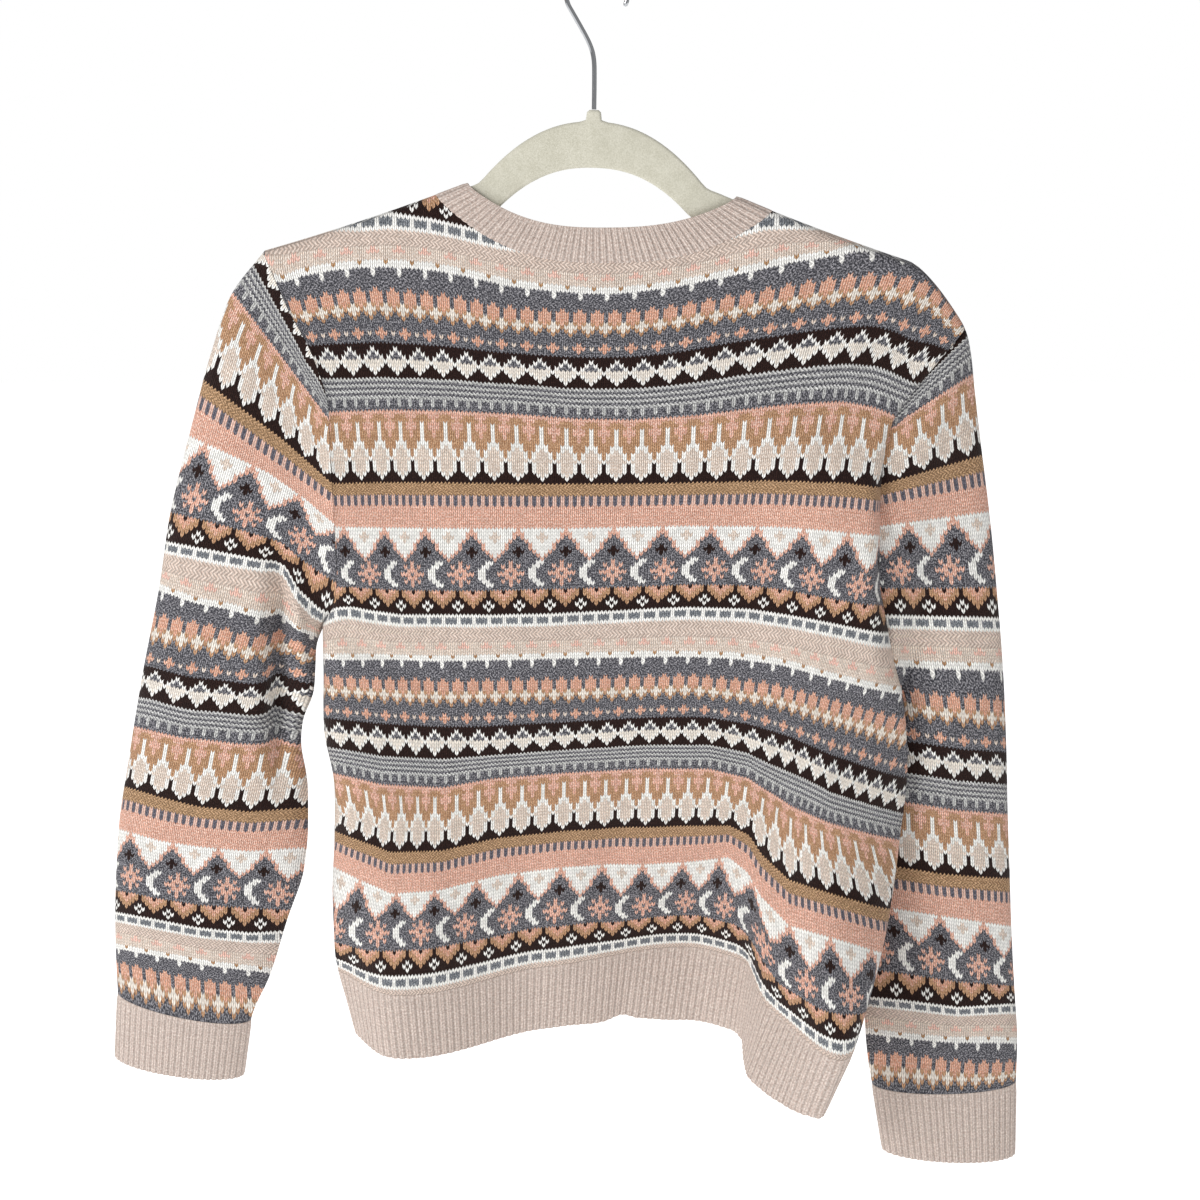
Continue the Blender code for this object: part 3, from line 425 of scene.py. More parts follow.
# Marl of the ribs, mottling of the flock and smears of the wire
MARL = ("#BFABA0", "#E2D5CC")
MARL_STRETCH = (3.0, 1.2)
MARL_SCALE = 1.4
MARL_EDGES = (0.35, 0.7)
FLOCK = ("#BDBAA9", "#D3D0C1")
FLOCK_SCALES = (1400, 90)
FLOCK_FINE = 0.7
FLOCK_EDGES = (0.3, 0.7)
SMEAR_SCALE = 220
SMEAR = (0.08, 0.20)
SOFT = {"Roughness": 0.95, "Specular_IOR_Level": 0.15}
# How high the fine relief of each finish stands, and how strongly it shades
KNIT_RELIEF = (0.0006, 0.7)
RIB_RELIEF = (0.0005, 0.7)
FLOCK_RELIEF = (0.0003, 0.5)

# Room: floor from left and near to right and far, its glow, the light from all round, and each
# lamp's place, size and power
SENSOR = 36
FLOOR = (-5, -5, 5, 7)
FLOOR_HEIGHT = -1.3
FLOOR_GLOW = 0.88
ROOM_LIGHT = 0.41
LAMPS = (("key", (-1.8, -1.55, 0.8), 1.0, 38), ("fill", (1.8, -1.8, 0.2), 2.0, 1.5))
LAMP_AIM = (0, 0, -0.45)

# One repeat of the knit, from the top down: for each course the yarns of its stitches from wale
# 0 on, which repeat across; then how often it comes, and - where it is purl
CHART = """
    o4- bbbhbb bbhhhb b2 awwwww w gggwgg2- g3-
    gggp pgpp3 tctp ccct tctg gtgg g2 gggpgg bgpppg gggpgg g
    d wddddd gwdddw ggwdwg cccwcc ccwdwc cwdddw wddddd d
    v- g- v- g- v- g- v- vgg2 g
    k ttkkkt tttktt wtkkkt2 wttktt2 wttttt wwtttw bwtttw bbwtwb2 bbbwbb bbwdwb3 bwdddw wddddd d
    l4- xi3 k6
    kwwwwwwwwwww kkwwwwbwwwwk gkwwwbbbwwwk ggkwwwbwwwkg gggkwwwwwkgg dggkwwwwwkgg
    ddggkwwwkggd dggggkwkgggg ggggggkggggg
"""
STAR = ("...k...", ".k.k.k.", "..kkk..", "kkk.kkk", "..kkk..", ".k.k.k.", "...k...")
MOON = ("..ww", ".ww.", "ww..", "ww..", "ww..", ".ww.", "..ww")
HEARTS = ("tppdppt", "ttppptt", ".ttptt.", "..ttt..", "...t...", "", "")
PETALS = ("", "", "", ".w.", "w.w", ".w.", "")


def charted(text):
    """The courses of a chart: the letters of each, and 1 where it is purl."""
    marks = re.findall(r"([a-z]+)(\d*)(-?)", text)
    return [(letters, len(purl)) for letters, times, purl in marks for _ in range(int(times or 1))]


def placed(period, ground, *motifs):
    """A plain course: each motif's letters from its first wale on, over the ground's yarn."""
    course = [ground] * period
    for first, letters in motifs:
        for i, letter in enumerate(letters):
            if letter != ".":
                course[(first + i) % period] = letter
    return "".join(course), 0


COURSES = (charted(CHART) + [placed(13, "g", (-3, s), (5, m)) for s, m in zip(STAR, MOON)]
           + charted("g") + [placed(8, "d", (1, h), (-1, p)) for h, p in zip(HEARTS, PETALS)]
           + charted("w wqqq2 w"))
REPEAT = len(COURSES)

# How the courses are kept in colour ramps: stops of a ramp; a course's yarn numbers in two halves
# of so many wales; most wales and yarns of a course; the codes of length and stitch
RAMP_STOPS = 32
HALF_WALES = 7
HALF = 4 ** HALF_WALES
LONGEST = 16
OWN_YARNS = LONGEST ** 4
CODES = 64
LETTERS = "".join(YARNS)


# ---- measuring


def read(table, column, at):
    """A column of a table against its first one, on a smooth curve that never overshoots."""
    rows = np.array(sorted(table), float)
    x, y = rows[:, 0], rows[:, column]
    step, slope = np.diff(x), np.diff(y) / np.diff(x)
    before, after = slope[:-1], slope[1:]
    same_way = before * after > 0
    inner = np.where(same_way, 2 * before * after / np.where(same_way, before + after, 1), 0)
    tangent = np.concatenate([[slope[0]], inner, [slope[-1]]])
    at = np.clip(np.asarray(at, float), x[0], x[-1])
    k = np.clip(np.searchsorted(x, at, side="right") - 1, 0, len(x) - 2)
    t = (at - x[k]) / step[k]
    return (y[k] * (1 + 2 * t) * (1 - t) ** 2 + tangent[k] * step[k] * t * (1 - t) ** 2
            + y[k + 1] * t * t * (3 - 2 * t) - tangent[k + 1] * step[k] * t * t * (1 - t))


def ease(start, full, at):
    """0 at start, 1 at full, smooth between."""
    t = np.clip((at - start) / (full - start), 0, 1)
    return t * t * (3 - 2 * t)


def lengths(points):
    """Distance of each point along its path."""
    step = np.linalg.norm(np.diff(points[:, :3], axis=0), axis=1)
    return np.concatenate([[0], np.cumsum(step)])


def evenly(points, count):
    """The same path with count points, evenly spaced. Columns past the third just follow."""
    length = lengths(points)
    at = np.linspace(0, length[-1], count)
    return np.stack([np.interp(at, length, column) for column in points.T], 1)


def round_loop(back, front, count):
    """A loop of count points: half of them evenly on the back's path and half on the front's."""
    half = count // 2 + 1
    return np.concatenate([evenly(back, half)[:-1], evenly(front[::-1], half)[:-1]])


def unit(vectors):
    return vectors / np.linalg.norm(vectors, axis=-1, keepdims=True)


def carried_on(at, known, values):
    """Straight between known points, and straight on past the first and last of them."""
    known, values = np.asarray(known, float), np.asarray(values, float)
    k = np.clip(np.searchsorted(known, at, side="right") - 1, 0, len(known) - 2)
    t = (at - known[k]) / (known[k + 1] - known[k])
    return values[k] + t * (values[k + 1] - values[k])


def bracket(lines, at):
    """The last of several lines that a point is past, and where that one and the next lie."""
    k = np.clip((lines <= at).sum(0) - 1, 0, len(lines) - 2)
    return k, *[np.take_along_axis(lines, (k + i)[None], 0)[0] for i in (0, 1)]


def heading(points, closed):
    """Direction of the path through each point along the first axis, halfway round its bend."""
    if closed:
        before = unit(points - np.roll(points, 1, axis=0))
        return before + np.roll(before, -1, axis=0)
    step = unit(np.diff(points, axis=0))
    return np.concatenate([step[:1], step[:-1] + step[1:], step[-1:]])


def normals(points, closed):
    """Unit normals of a grid of points: rows go down, columns go round or across."""
    across = heading(points.swapaxes(0, 1), closed).swapaxes(0, 1)
    return unit(np.cross(heading(points, False), across))


def carried(rings, row, edge, way=1):
    """Two rings and their normals. One of them keeps the normals of the edge it carries on."""
    normal = normals(rings, True) * way
    normal[row] = edge[:, 3:]
    return rings, unit(normal)


# ---- hanger lines


def wing_top(x):
    """Top edge of a hanger's arm, upright, at a distance from the middle."""
    q = (x - WING_START[0]) / (HANGER_REACH - WING_START[0])
    return WING_START[1] - WING_DROP * q - WING_SAG * np.clip(q, 0, 1) * (1 - np.clip(q, 0, 1))


def arch(shape, x):
    top, rise, power = shape
    return top - rise * np.abs(x) ** power


def tilted(x, z):
    """A point of the upright hanger, turned about the hook's inside top."""
    c, s = math.cos(HANGER_TILT), math.sin(HANGER_TILT)
    return x * c + z * s, z * c - x * s


def shoulder_line(x):
    """Height of the cloth's middle surface where it folds over the hanger, at x."""
    x = np.asarray(x, float)
    upright = np.abs(x - HANGER_TILT * WING_START[1])
    top = wing_top(upright) - x * math.tan(HANGER_TILT) + REST_GAP
    start, rate, power = SHOULDER_DROP
    return top - rate * np.clip(x - start, 0, None) ** power


# ---- body


def depth(face, x, z):
    """Depth of a body panel away from its edges."""
    y = read(PANEL_DEPTH, 1 + face, z)
    for middle, left, right, deep, start, full in (BACK_FOLDS, FRONT_FOLDS)[face]:
        q = np.where(x < middle, (middle - x) / left, (x - middle) / right)
        y = y + deep * ease(start, full, z) * np.cos(np.clip(q, 0, 1) * math.pi / 2) ** 2
    if face == BACK:
        middle, half, deep, start, full = PLEAT
        swing, deepen, top, bottom = PLEAT_SWAY
        middle, deep = middle - swing * ease(top, bottom, z), deep - deepen * ease(top, bottom, z)
        y = y + deep * ease(start, full, z) * ease(middle - half, middle + half, x)
    return y


def over_hanger(x, z):
    """Share of a panel's depth that is left near the shoulder line, where it rolls over."""
    q = np.clip((shoulder_line(x) - z) / ROLL, 0, 1)
    return np.sqrt(1 - (1 - q) ** 2)


def edge_turn(width, lap, count):
    """Round a panel's edge: distance in from the furthest x, and share of the way from the
    panel's depth to the seam's."""
    a = np.linspace(0, math.pi / 2 + lap, count)
    return width * (math.cos(min(lap, 0)) - np.sin(a)), (1 - np.cos(a)) / (1 + math.sin(lap))


def section(face, z, count):
    """A body panel cut level at height z: count points (x, y) from left seam to right seam."""
    (left, left_turn, left_lap, left_y), (right, right_turn, right_lap, right_y) = [
        [float(read(edge, column, z)) for column in (1, 2, 3, 4 + face)]
        for edge in (LEFT_EDGE, RIGHT_EDGE)]
    left_lap, right_lap = math.radians(left_lap), math.radians(right_lap)
    n = SECTION_POINTS // 3
    if face == FRONT:
        fade = ease(LEFT_ARMPIT, LEFT_ARMPIT - FRONT_TURN_FADE[0], z)
        left_turn = left_turn + (FRONT_TURN - left_turn) * fade
    inset, share_left = edge_turn(left_turn, left_lap, n)
    x_left, share_left = left + inset[::-1], share_left[::-1]
    if face == BACK or right_lap < 0:
        inset, share_right = edge_turn(right_turn, right_lap, n)
        x_right = right - inset
    else:
        right = right - right_turn * (1 - math.cos(right_lap))
        fade = ease(RIGHT_ARMPIT, RIGHT_ARMPIT - FRONT_TURN_FADE[1], z)
        right_turn = right_turn + (FRONT_TURN - right_turn) * fade
        t, flat = np.linspace(0, 1, n), math.sin(right_lap)
        x_right = right - right_turn * (1 - (1 - flat) * np.sin(t * math.pi / 2) - flat * t)
        share_right = (1 - flat) * (1 - np.cos(t * math.pi / 2)) + flat * ease(0, 1, t)
    x = np.concatenate([x_left, np.linspace(x_left[-1], x_right[0], 3 * n)[1:-1], x_right])
    y = depth(face, x, z)
    y[:n] += (left_y - y[:n]) * share_left
    y[-n:] += (right_y - y[-n:]) * share_right
    return evenly(np.stack([x, y], 1), count)


def neck_line(x, face, corners, low):
    """Height of a neckline's curve at x, between its corners on the shoulder line."""
    start, end = corners
    middle = (start + end) / 2
    q = np.clip(np.abs(x - middle) / ((end - start) / 2), 0, 1)
    top = np.where(x < middle, shoulder_line(start), shoulder_line(end))
    return low[face] + (top - low[face]) * q ** NECK_CURVE[face]


def panel_top(face, x):
    """Top edge of a body panel: shoulder line, and neckline between the corners."""
    return np.where((x > NECK_CORNERS[0]) & (x < NECK_CORNERS[1]),
                    neck_line(x, face, NECK_CORNERS, NECK_LOW), shoulder_line(x))


def seam_way(edge, z):
    """Level direction in which the back panel arrives at its first or last edge, at height z."""
    cut = section(BACK, z, FINE_SECTION)
    way = cut[0] - cut[1] if edge == 0 else cut[-1] - cut[-2]
    return np.array([*way, 0]) / np.linalg.norm(way)


def panel_shares(face):
    """Share of the way across for each column of a panel, with a column on each neck corner."""
    corners = [0]
    for corner in NECK_CORNERS:
        x = section(face, float(shoulder_line(corner)), FINE_SECTION)[:, 0]
        corners.append(float(np.interp(corner, x, np.linspace(0, 1, len(x)))))
    corners.append(1)
    left, neck, right = [np.linspace(0, 1, n + 1) for n in PANEL_COLUMNS]
    rolled = len(NECK_ROLL)
    neck[1:rolled + 1] = NECK_ROLL
    neck[-rolled - 1:-1] = 1 - np.array(NECK_ROLL[::-1])
    neck[rolled:-rolled] = np.linspace(neck[rolled], neck[-rolled - 1], len(neck) - 2 * rolled)
    runs = [a + (b - a) * run[:-1] for a, b, run in zip(corners, corners[1:], (left, neck, right))]
    return np.concatenate(runs + [[1.0]])


def panel_points(face):
    """Middle surface of a body panel, a row for each step down from its top edge."""
    shares, even = panel_shares(face), np.linspace(0, 1, FINE_SECTION)
    cuts = [section(face, z, FINE_SECTION) for z in CUT_HEIGHTS]
    cuts = np.stack([[np.interp(shares, even, cut[:, k]) for cut in cuts] for k in (0, 1)], 2)

    def at(i, z):
        return [np.interp(-z, -CUT_HEIGHTS, cuts[:, i, k]) for k in (0, 1)]

    roll_rows, armhole_rows, side_rows = PANEL_ROWS
    roll = ROLL * (1 - np.cos(np.linspace(0, math.pi / 2, roll_rows + 1)))
    points = np.zeros((sum(PANEL_ROWS) + 1, len(shares), 3))
    for i, share in enumerate(shares):
        top = NECK_LOW[BACK]
        for _ in range(SETTLE_ROUNDS):  # until this column meets the top edge
            top = 0.5 * (top + float(panel_top(face, at(i, top)[0])))
        pit = LEFT_ARMPIT + (RIGHT_ARMPIT - LEFT_ARMPIT) * share
        bottom = float(hem_line(face, share)) + HEM_DEPTH + SEAM
        heights = np.concatenate([top - roll, np.linspace(top - ROLL, pit, armhole_rows + 1)[1:],
                                  np.linspace(pit, bottom, side_rows + 1)[1:]])
        points[:, i, 0], points[:, i, 1] = at(i, heights)
        points[:, i, 2] = heights
    points[..., 1] *= over_hanger(points[..., 0], points[..., 2])
    return points


@functools.cache
def panel(face):
    """A body panel's points and normals, squared off where it meets its neighbours."""
    points = panel_points(face)
    outward = 1 if face == BACK else -1
    normal, away = normals(points, False) * outward, -outward * SEAM / 2
    for edge in (0, -1):
        for row in range(PIT_ROW, sum(PANEL_ROWS) + 1):
            way = seam_way(edge, points[row, edge, 2])
            points[row, edge] += way * away
            normal[row, edge] -= way * (normal[row, edge] @ way)
    if face == FRONT:
        normal[PIT_ROW:, [0, -1]] = panel(BACK)[1][PIT_ROW:, [0, -1]]
    on_shoulder = np.abs(points[0, :, 1]) < ON_SHOULDER
    points[0, on_shoulder, 1] = away
    slope = np.gradient(shoulder_line(points[0, :, 0]), points[0, :, 0])
    square = unit(np.column_stack([-slope, 0 * slope, 1 + 0 * slope]))
    normal[0, on_shoulder] = square[on_shoulder]
    normal[-1, :, 2] = 0
    return points, unit(normal)


def panel_edge(face, row, columns=slice(None)):
    """A row of a panel's points with their normals beside them."""
    points, normal = panel(face)
    return np.column_stack([points[row, columns], normal[row, columns]])


def hem_line(face, share):
    return read(HEM_LINE, 1 + face, share)


def hem_rib(count):
    """Points and normals of the hem's rib, which carries on from the panels' bottom edges."""
    top = round_loop(panel_edge(BACK, -1), panel_edge(FRONT, -1), count)
    shares = np.linspace(0, 1, CURVE_POINTS)
    bottom = [np.array([(*section(face, z, CURVE_POINTS)[i], z)
                        for i, z in enumerate(hem_line(face, shares))]) for face in (BACK, FRONT)]
    bottom[BACK] -= np.column_stack([read(HEM_HANG, column, shares) for column in (3, 2, 1)])
    return carried(np.array([top[:, :3] - (0, 0, SEAM), round_loop(*bottom, count)]), 0, top)


def neckband(count):
    """Points and normals of the neckband, which carries on from the panels' necklines."""
    middle, reach = sum(BAND_CORNERS) / 2, (BAND_CORNERS[1] - BAND_CORNERS[0]) / 2
    x = middle - reach * np.cos(np.linspace(0, math.pi, CURVE_POINTS))
    upper = []
    for face, girth in ((BACK, -BAND_GIRTH), (FRONT, BAND_GIRTH)):
        z = neck_line(x, face, BAND_CORNERS, BAND_LOW)
        upper.append(np.column_stack([x, girth * over_hanger(x, z), z]))
    neck = slice(PANEL_COLUMNS[0], PANEL_COLUMNS[0] + PANEL_COLUMNS[1] + 1)
    lower = round_loop(panel_edge(BACK, 0, neck), panel_edge(FRONT, 0, neck), count)
    rings = np.array([round_loop(*upper, count), lower[:, :3]])
    rings[1] += unit(rings[0] - rings[1]) * SEAM
    return carried(rings, 1, lower)


# ---- sleeves


def armhole(side):
    """The armhole's loop from the shoulder, down the back to the armpit and up the front: its
    points, the body's normals there and the way in which the body's cloth arrives."""
    edge, inner = (0, 1) if side == "left" else (-1, -2)
    runs = []
    for face in (BACK, FRONT):
        points, normal = panel(face)
        way = unit(points[:, edge] - points[:, inner])
        runs.append(np.stack([points[:, edge], normal[:, edge], way])[:, :PIT_ROW + 1])
    back, front = runs
    return np.concatenate([back, front[:, -2:0:-1]], axis=1)


def along_chord(hole):
    """Where each point of an armhole lies from its shoulder end to the armpit, as a share of
    that straight line and as a distance off it, in the plane of the hanger."""
    tip, pit = hole[0, [0, 2]], hole[PIT_ROW, [0, 2]]
    chord = pit - tip
    off = np.array([-chord[1], chord[0]]) / np.linalg.norm(chord)
    spot = hole[:, [0, 2]] - tip
    return spot @ chord / (chord @ chord), spot @ off


def sleeve_rings(side, steps, turn, hole):
    """Rings of a sleeve and their normals, from the armhole's points at the angles turn. A step
    is the table's row, 0 for the armhole. Its bow fades first, then the angles even out."""
    last = len(SLEEVES[side]) - 1
    even = np.linspace(0, 2 * math.pi, len(turn), endpoint=False)
    along_hole, bow_hole = along_chord(hole)
    tip, pit = hole[0], hole[PIT_ROW]
    rows = [(0, tip[0], tip[2], pit[0], pit[2], pit[1], ARMHOLE_HALF_DEPTH)]
    rows += [(i + 1, *row) for i, row in enumerate(SLEEVES[side])]

    def edges(step):
        return [np.array([read(rows, k, step), read(rows, k + 1, step)]) for k in (1, 3)]

    rings, outward = [], []
    for step in steps:
        over, under = edges(step)
        middle, half = read(rows, 5, step), read(rows, 6, step)
        fade, slower = [math.exp(-step * rate) * (1 - step / last) for rate in ARMHOLE_FADES]
        angle = turn * slower + even * (1 - slower)
        along = along_hole * fade + (1 - np.cos(angle)) / 2 * (1 - fade)
        off = unit(np.array([-(under - over)[1], (under - over)[0]]))
        xz = over + along[:, None] * (under - over) + (bow_hole * fade)[:, None] * off
        y = hole[:, 1] * fade + (middle - half * np.sin(angle)) * (1 - fade)
        ahead = sum(edges(min(step + 0.5, last))) - sum(edges(max(step - 0.5, 0)))
        wide_way = unit(np.array([-ahead[1], ahead[0]]))
        wide = (over - under) @ wide_way / 2
        flat = np.cos(angle)[:, None] / wide * wide_way
        rings.append(np.column_stack([xz[:, 0], y, xz[:, 1]]))
        outward.append(np.column_stack([flat[:, 0], -np.sin(angle) / half, flat[:, 1]]))
    return np.array(rings), unit(np.array(outward))


@functools.cache
def sleeve(side):
    """A sleeve's points and normals, from just clear of the armhole to the top of its cuff."""
    hole, body_normal, arrive = armhole(side)
    turn = np.arccos(np.clip(1 - 2 * along_chord(hole)[0], -1, 1))
    turn[PIT_ROW + 1:] = 2 * math.pi - turn[PIT_ROW + 1:]
    clear, start, full = ARMPIT[side]
    near_pit = ease(start, full, math.pi - np.abs(turn - math.pi))[:, None]
    hole = hole + arrive * SEAM * (1 - near_pit) + np.array(clear) * near_pit
    hole[PIT_ROW, 1] = (hole[PIT_ROW - 1, 1] + hole[PIT_ROW + 1, 1]) / 2
    steps = (len(SLEEVES[side]) - 1) * np.linspace(0, 1, SLEEVE_ROWS + 1)
    rings, normal = sleeve_rings(side, steps, turn, hole)
    normal[0] = body_normal * (1 - near_pit) + normal[0] * near_pit
    way = cuff_way(side)
    rings[-1] -= way * SEAM
    normal[-1] -= way * (normal[-1] @ way)[:, None]
    return rings, unit(normal)


def cuff_way(side):
    """Direction down a sleeve, square to the top edge of its cuff."""
    over_x, over_z, under_x, under_z = SLEEVES[side][-2][:4]
    way = np.array([over_z - under_z, 0, under_x - over_x]) * WAY_ROUND[side]
    return -way / np.linalg.norm(way)


def cuff(side, count):
    """A cuff's points and normals. It carries on from the sleeve's last ring."""
    points, normal = sleeve(side)
    last = np.column_stack([points[-1], normal[-1]])
    top = evenly(np.concatenate([last, last[:1]]), count + 1)[:-1]
    over_x, over_z, under_x, under_z, middle, half = SLEEVES[side][-1]
    angle = np.linspace(0, 2 * math.pi, 2 * CURVE_POINTS)
    along = (1 - np.cos(angle)) / 2
    low = evenly(np.column_stack([over_x + (under_x - over_x) * along,
                                  middle - half * np.sin(angle),
                                  over_z + (under_z - over_z) * along]), count + 1)[:-1]
    return carried(np.array([top[:, :3] + cuff_way(side) * SEAM, low]), 0, top, WAY_ROUND[side])


# ---- creases


def creased(points, normal, creases, closed=False):
    """Points with soft creases pushed along the normals, and the normals. They fade out at the
    seams, and the far side of a tube has the same ones lower down and a little softer."""
    def lift(x, z):
        total = np.zeros(x.shape)
        for x0, z0, x1, z1, width, high in creases:
            run = np.array([x1 - x0, z1 - z0])
            share = ((x - x0) * run[0] + (z - z0) * run[1]) / (run @ run)
            share = np.clip(share, -CREASE_PAST, 1 + CREASE_PAST)
            off = np.hypot(x - x0 - share * run[0], z - z0 - share * run[1])
            ends = (ease(-CREASE_PAST, CREASE_FULL, share)
                    * ease(1 + CREASE_PAST, 1 - CREASE_FULL, share))
            total += high * np.exp(-(off / width) ** 2) * ends
        return total

    x, z = points[..., 0], points[..., 2]
    high = lift(x, z)
    down, across = [ease(0, CREASE_FADE, np.arange(n)) * ease(0, CREASE_FADE, np.arange(n)[::-1])
                    for n in high.shape]
    high = high * down[:, None]
    if closed:
        lower, softer = CREASE_HIDDEN
        near = (1 - normal[..., 1]) / 2
        high = high * near + softer * lift(x, z + lower) * down[:, None] * (1 - near)
    else:
        high = high * across
    return points + normal * high[..., None], normal


# ---- where the stitches lie


def sighted(points):
    """Where points are seen on the sheet in front of the eye: across, down."""
    x, y, z = [points[..., k] - EYE[k] for k in range(3)]
    c, s = math.cos(EYE_PITCH), math.sin(EYE_PITCH)
    ahead = y * c - z * s
    return SHEET / 2 + SIGHT_LENGTH * x / ahead, SHEET / 2 - SIGHT_LENGTH * (y * s + z * c) / ahead


def stripe_height(stripe, across):
    """Height on the sheet of a stripe, carried on with its overall slope past its ends."""
    spots = np.reshape(stripe[1:], (-1, 2))
    slope = (spots[-1, 1] - spots[0, 1]) / (spots[-1, 0] - spots[0, 0])
    past = across - np.clip(across, spots[0, 0], spots[-1, 0])
    return np.interp(across, spots[:, 0], spots[:, 1]) + slope * past


def courses_at(stripes, points, last):
    """Course of each point, from the stripes above and below it on the sheet. The bottom row of
    points has the course last."""
    across, down = sighted(points)
    courses = [stripe[0] for stripe in stripes] + [last]
    heights = [stripe_height(stripe, across) for stripe in stripes]
    heights.append(np.broadcast_to(down[-1], down.shape))
    apart = STRIPES_APART * np.arange(len(courses))[:, None, None]
    law = np.array(SPACING, float)
    spaced = np.interp(courses, law[:, 0], law[:, 1])
    k, above, below = bracket(np.maximum.accumulate(np.array(heights) + apart), down)
    t = (down - above) / np.maximum(below - above, LEAST_STRIPE)
    return carried_on(spaced[k] + t * (spaced[k + 1] - spaced[k]), law[:, 1], law[:, 0])


def back_wales(points, normal):
    """Wale of each point of the back: sighted where the cloth faces the eye, and counted on by
    the stitch's width where it turns away at its edges."""
    across, down = sighted(points)
    levels, *places = np.array(BACK_WALES).T
    lines = np.array([np.interp(down, levels, place) for place in places])
    k, left, right = bracket(lines, across)
    wale = np.array(WALES)[k] + (across - left) / (right - left) * WALES.step
    facing = -normal[..., 1] > FACING
    for row in range(len(points)):
        seen = np.flatnonzero(facing[row])
        if len(seen) < 2:
            continue
        length = lengths(points[row])
        for a, part in ((seen[0], slice(0, seen[0])), (seen[-1], slice(seen[-1], None))):
            wale[row, part] = wale[row, a] + (length[part] - length[a]) / FRONT_STITCH
    return wale


def back_knit():
    points, normal = panel(BACK)
    courses = courses_at(BACK_STRIPES, points, BACK_LAST_COURSE)
    return np.stack([back_wales(points, normal), courses], -1)


def front_knit():
    """The front's stripes meet the back's at the side seams and run level between them."""
    points, back, course = panel(FRONT)[0], panel(BACK)[0], back_knit()[..., 1]
    center = course.shape[1] // 2
    left, middle, right = [carried_on(-points[..., 2], -back[:, i, 2], course[:, i])
                           for i in (0, center, -1)]
    share = np.linspace(0, 1, points.shape[1])
    seam = left * (1 - share) + right * share
    inner = ease(0, STRIPES_LEVEL, np.minimum(share, 1 - share))
    wale = np.array([lengths(row) for row in points])
    wale = (wale - wale[:, center, None]) / FRONT_STITCH
    return np.stack([wale, seam * (1 - inner) + middle * inner], -1)


def sleeve_grid(side):
    """A sleeve's points, normals and stitches, with the columns starting at the underarm."""
    points, normal = sleeve(side)
    count = points.shape[1]
    course = courses_at(SLEEVE_STRIPES[side], points, SLEEVE_LAST_COURSE)
    mirror = (count - np.arange(count)) % count
    course[:, PIT_ROW + 1:] = course[:, mirror[PIT_ROW + 1:]]
    stitch = np.linspace(*SLEEVE_STITCH, len(points))[:, None]
    top_course = np.maximum.accumulate(course[:, 0])
    beside = np.stack([np.interp(course, top_course, points[:, 0, k]) for k in range(3)], -1)
    away = np.linalg.norm(points - beside, axis=-1) / stitch * WAY_ROUND[side]
    hidden = -away[:, mirror[:PIT_ROW + 1]][:, ::-1]
    wale = np.concatenate([hidden, away[:, 1:PIT_ROW + 1]], 1) + FIRST_WALE[side]
    order = (np.arange(count + 1) + PIT_ROW) % count
    points, normal = creased(points, normal, SLEEVE_CREASES[side], closed=True)
    return points[:, order[:-1]], normal[:, order[:-1]], np.stack([wale, course[:, order]], -1)


def rib_grid(rings, normal, ribs):
    """A rib's two rings filled in with rows, and its stitches: one wale to a rib."""
    t = np.linspace(0, 1, RIB_ROWS + 1)[:, None, None]
    down = np.linalg.norm(rings[1] - rings[0], axis=1).mean() / RIB_COURSE
    count = rings.shape[1]
    wale, course = np.broadcast_arrays(np.arange(count + 1) / count * ribs, t[..., 0] * down)
    return (rings[0] * (1 - t) + rings[1] * t, unit(normal[0] * (1 - t) + normal[1] * t),
            np.stack([wale, course], -1))


# ---- node trees


def put(value, socket):
    """Leads a number or an output into a socket, or sets it to a plain value."""
    value = getattr(value, "socket", value)
    if isinstance(value, bpy.types.NodeSocket):
        socket.id_data.links.new(value, socket)
    else:
        socket.default_value = value


def add(tree, kind, inputs=(), **settings):
    """Adds a node to a tree, with its settings and with what its inputs get."""
    node = tree.nodes.new(kind)
    for key, value in settings.items():
        setattr(node, key, value)
    for key, value in dict(inputs).items():
        put(value, node.inputs[key])
    return node


def sums(operation, swapped=False):
    """A method that adds a maths node for a number and another one."""
    def method(self, other):
        first, second = (other, self) if swapped else (self, other)
        return self.via("ShaderNodeMath", {0: first, 1: second}, operation=operation)
    return method


class Number:
    """What a node gives out. Sums with it add maths nodes, so they are written as sums."""

    def __init__(self, socket):
        self.socket = socket

    def via(self, kind, inputs, **settings):
        """Adds a node to the same tree and goes on from its first output."""
        return Number(add(self.socket.id_data, kind, inputs, **settings).outputs[0])

    def alone(self, operation):
        return self.via("ShaderNodeMath", {0: self}, operation=operation)

    def floor(self):
        return self.alone("FLOOR")

    def fract(self):
        return self.alone("FRACT")

    def __abs__(self):
        return self.alone("ABSOLUTE")

    __add__, __radd__ = sums("ADD"), sums("ADD", True)
    __sub__, __rsub__ = sums("SUBTRACT"), sums("SUBTRACT", True)
    __mul__, __rmul__ = sums("MULTIPLY"), sums("MULTIPLY", True)
    __truediv__, __rtruediv__ = sums("DIVIDE"), sums("DIVIDE", True)
    __pow__, __rpow__ = sums("POWER"), sums("POWER", True)
    __mod__, __gt__ = sums("FLOORED_MODULO"), sums("GREATER_THAN")


def between(value, low, high):
    """0 up to low, 1 from high on, smooth between."""
    return value.via("ShaderNodeMapRange", {"Value": value, "From Min": low, "From Max": high},
                     interpolation_type="SMOOTHSTEP")


def blend(share, a, b):
    return share.via("ShaderNodeMix", {0: share, 2: a, 3: b})


def dyed(share, a, b):
    """One colour, going over to another."""
    node = add(share.socket.id_data, "ShaderNodeMix", {0: share}, data_type="RGBA")
    put(a, node.inputs[6])
    put(b, node.inputs[7])
    return Number(node.outputs[2])


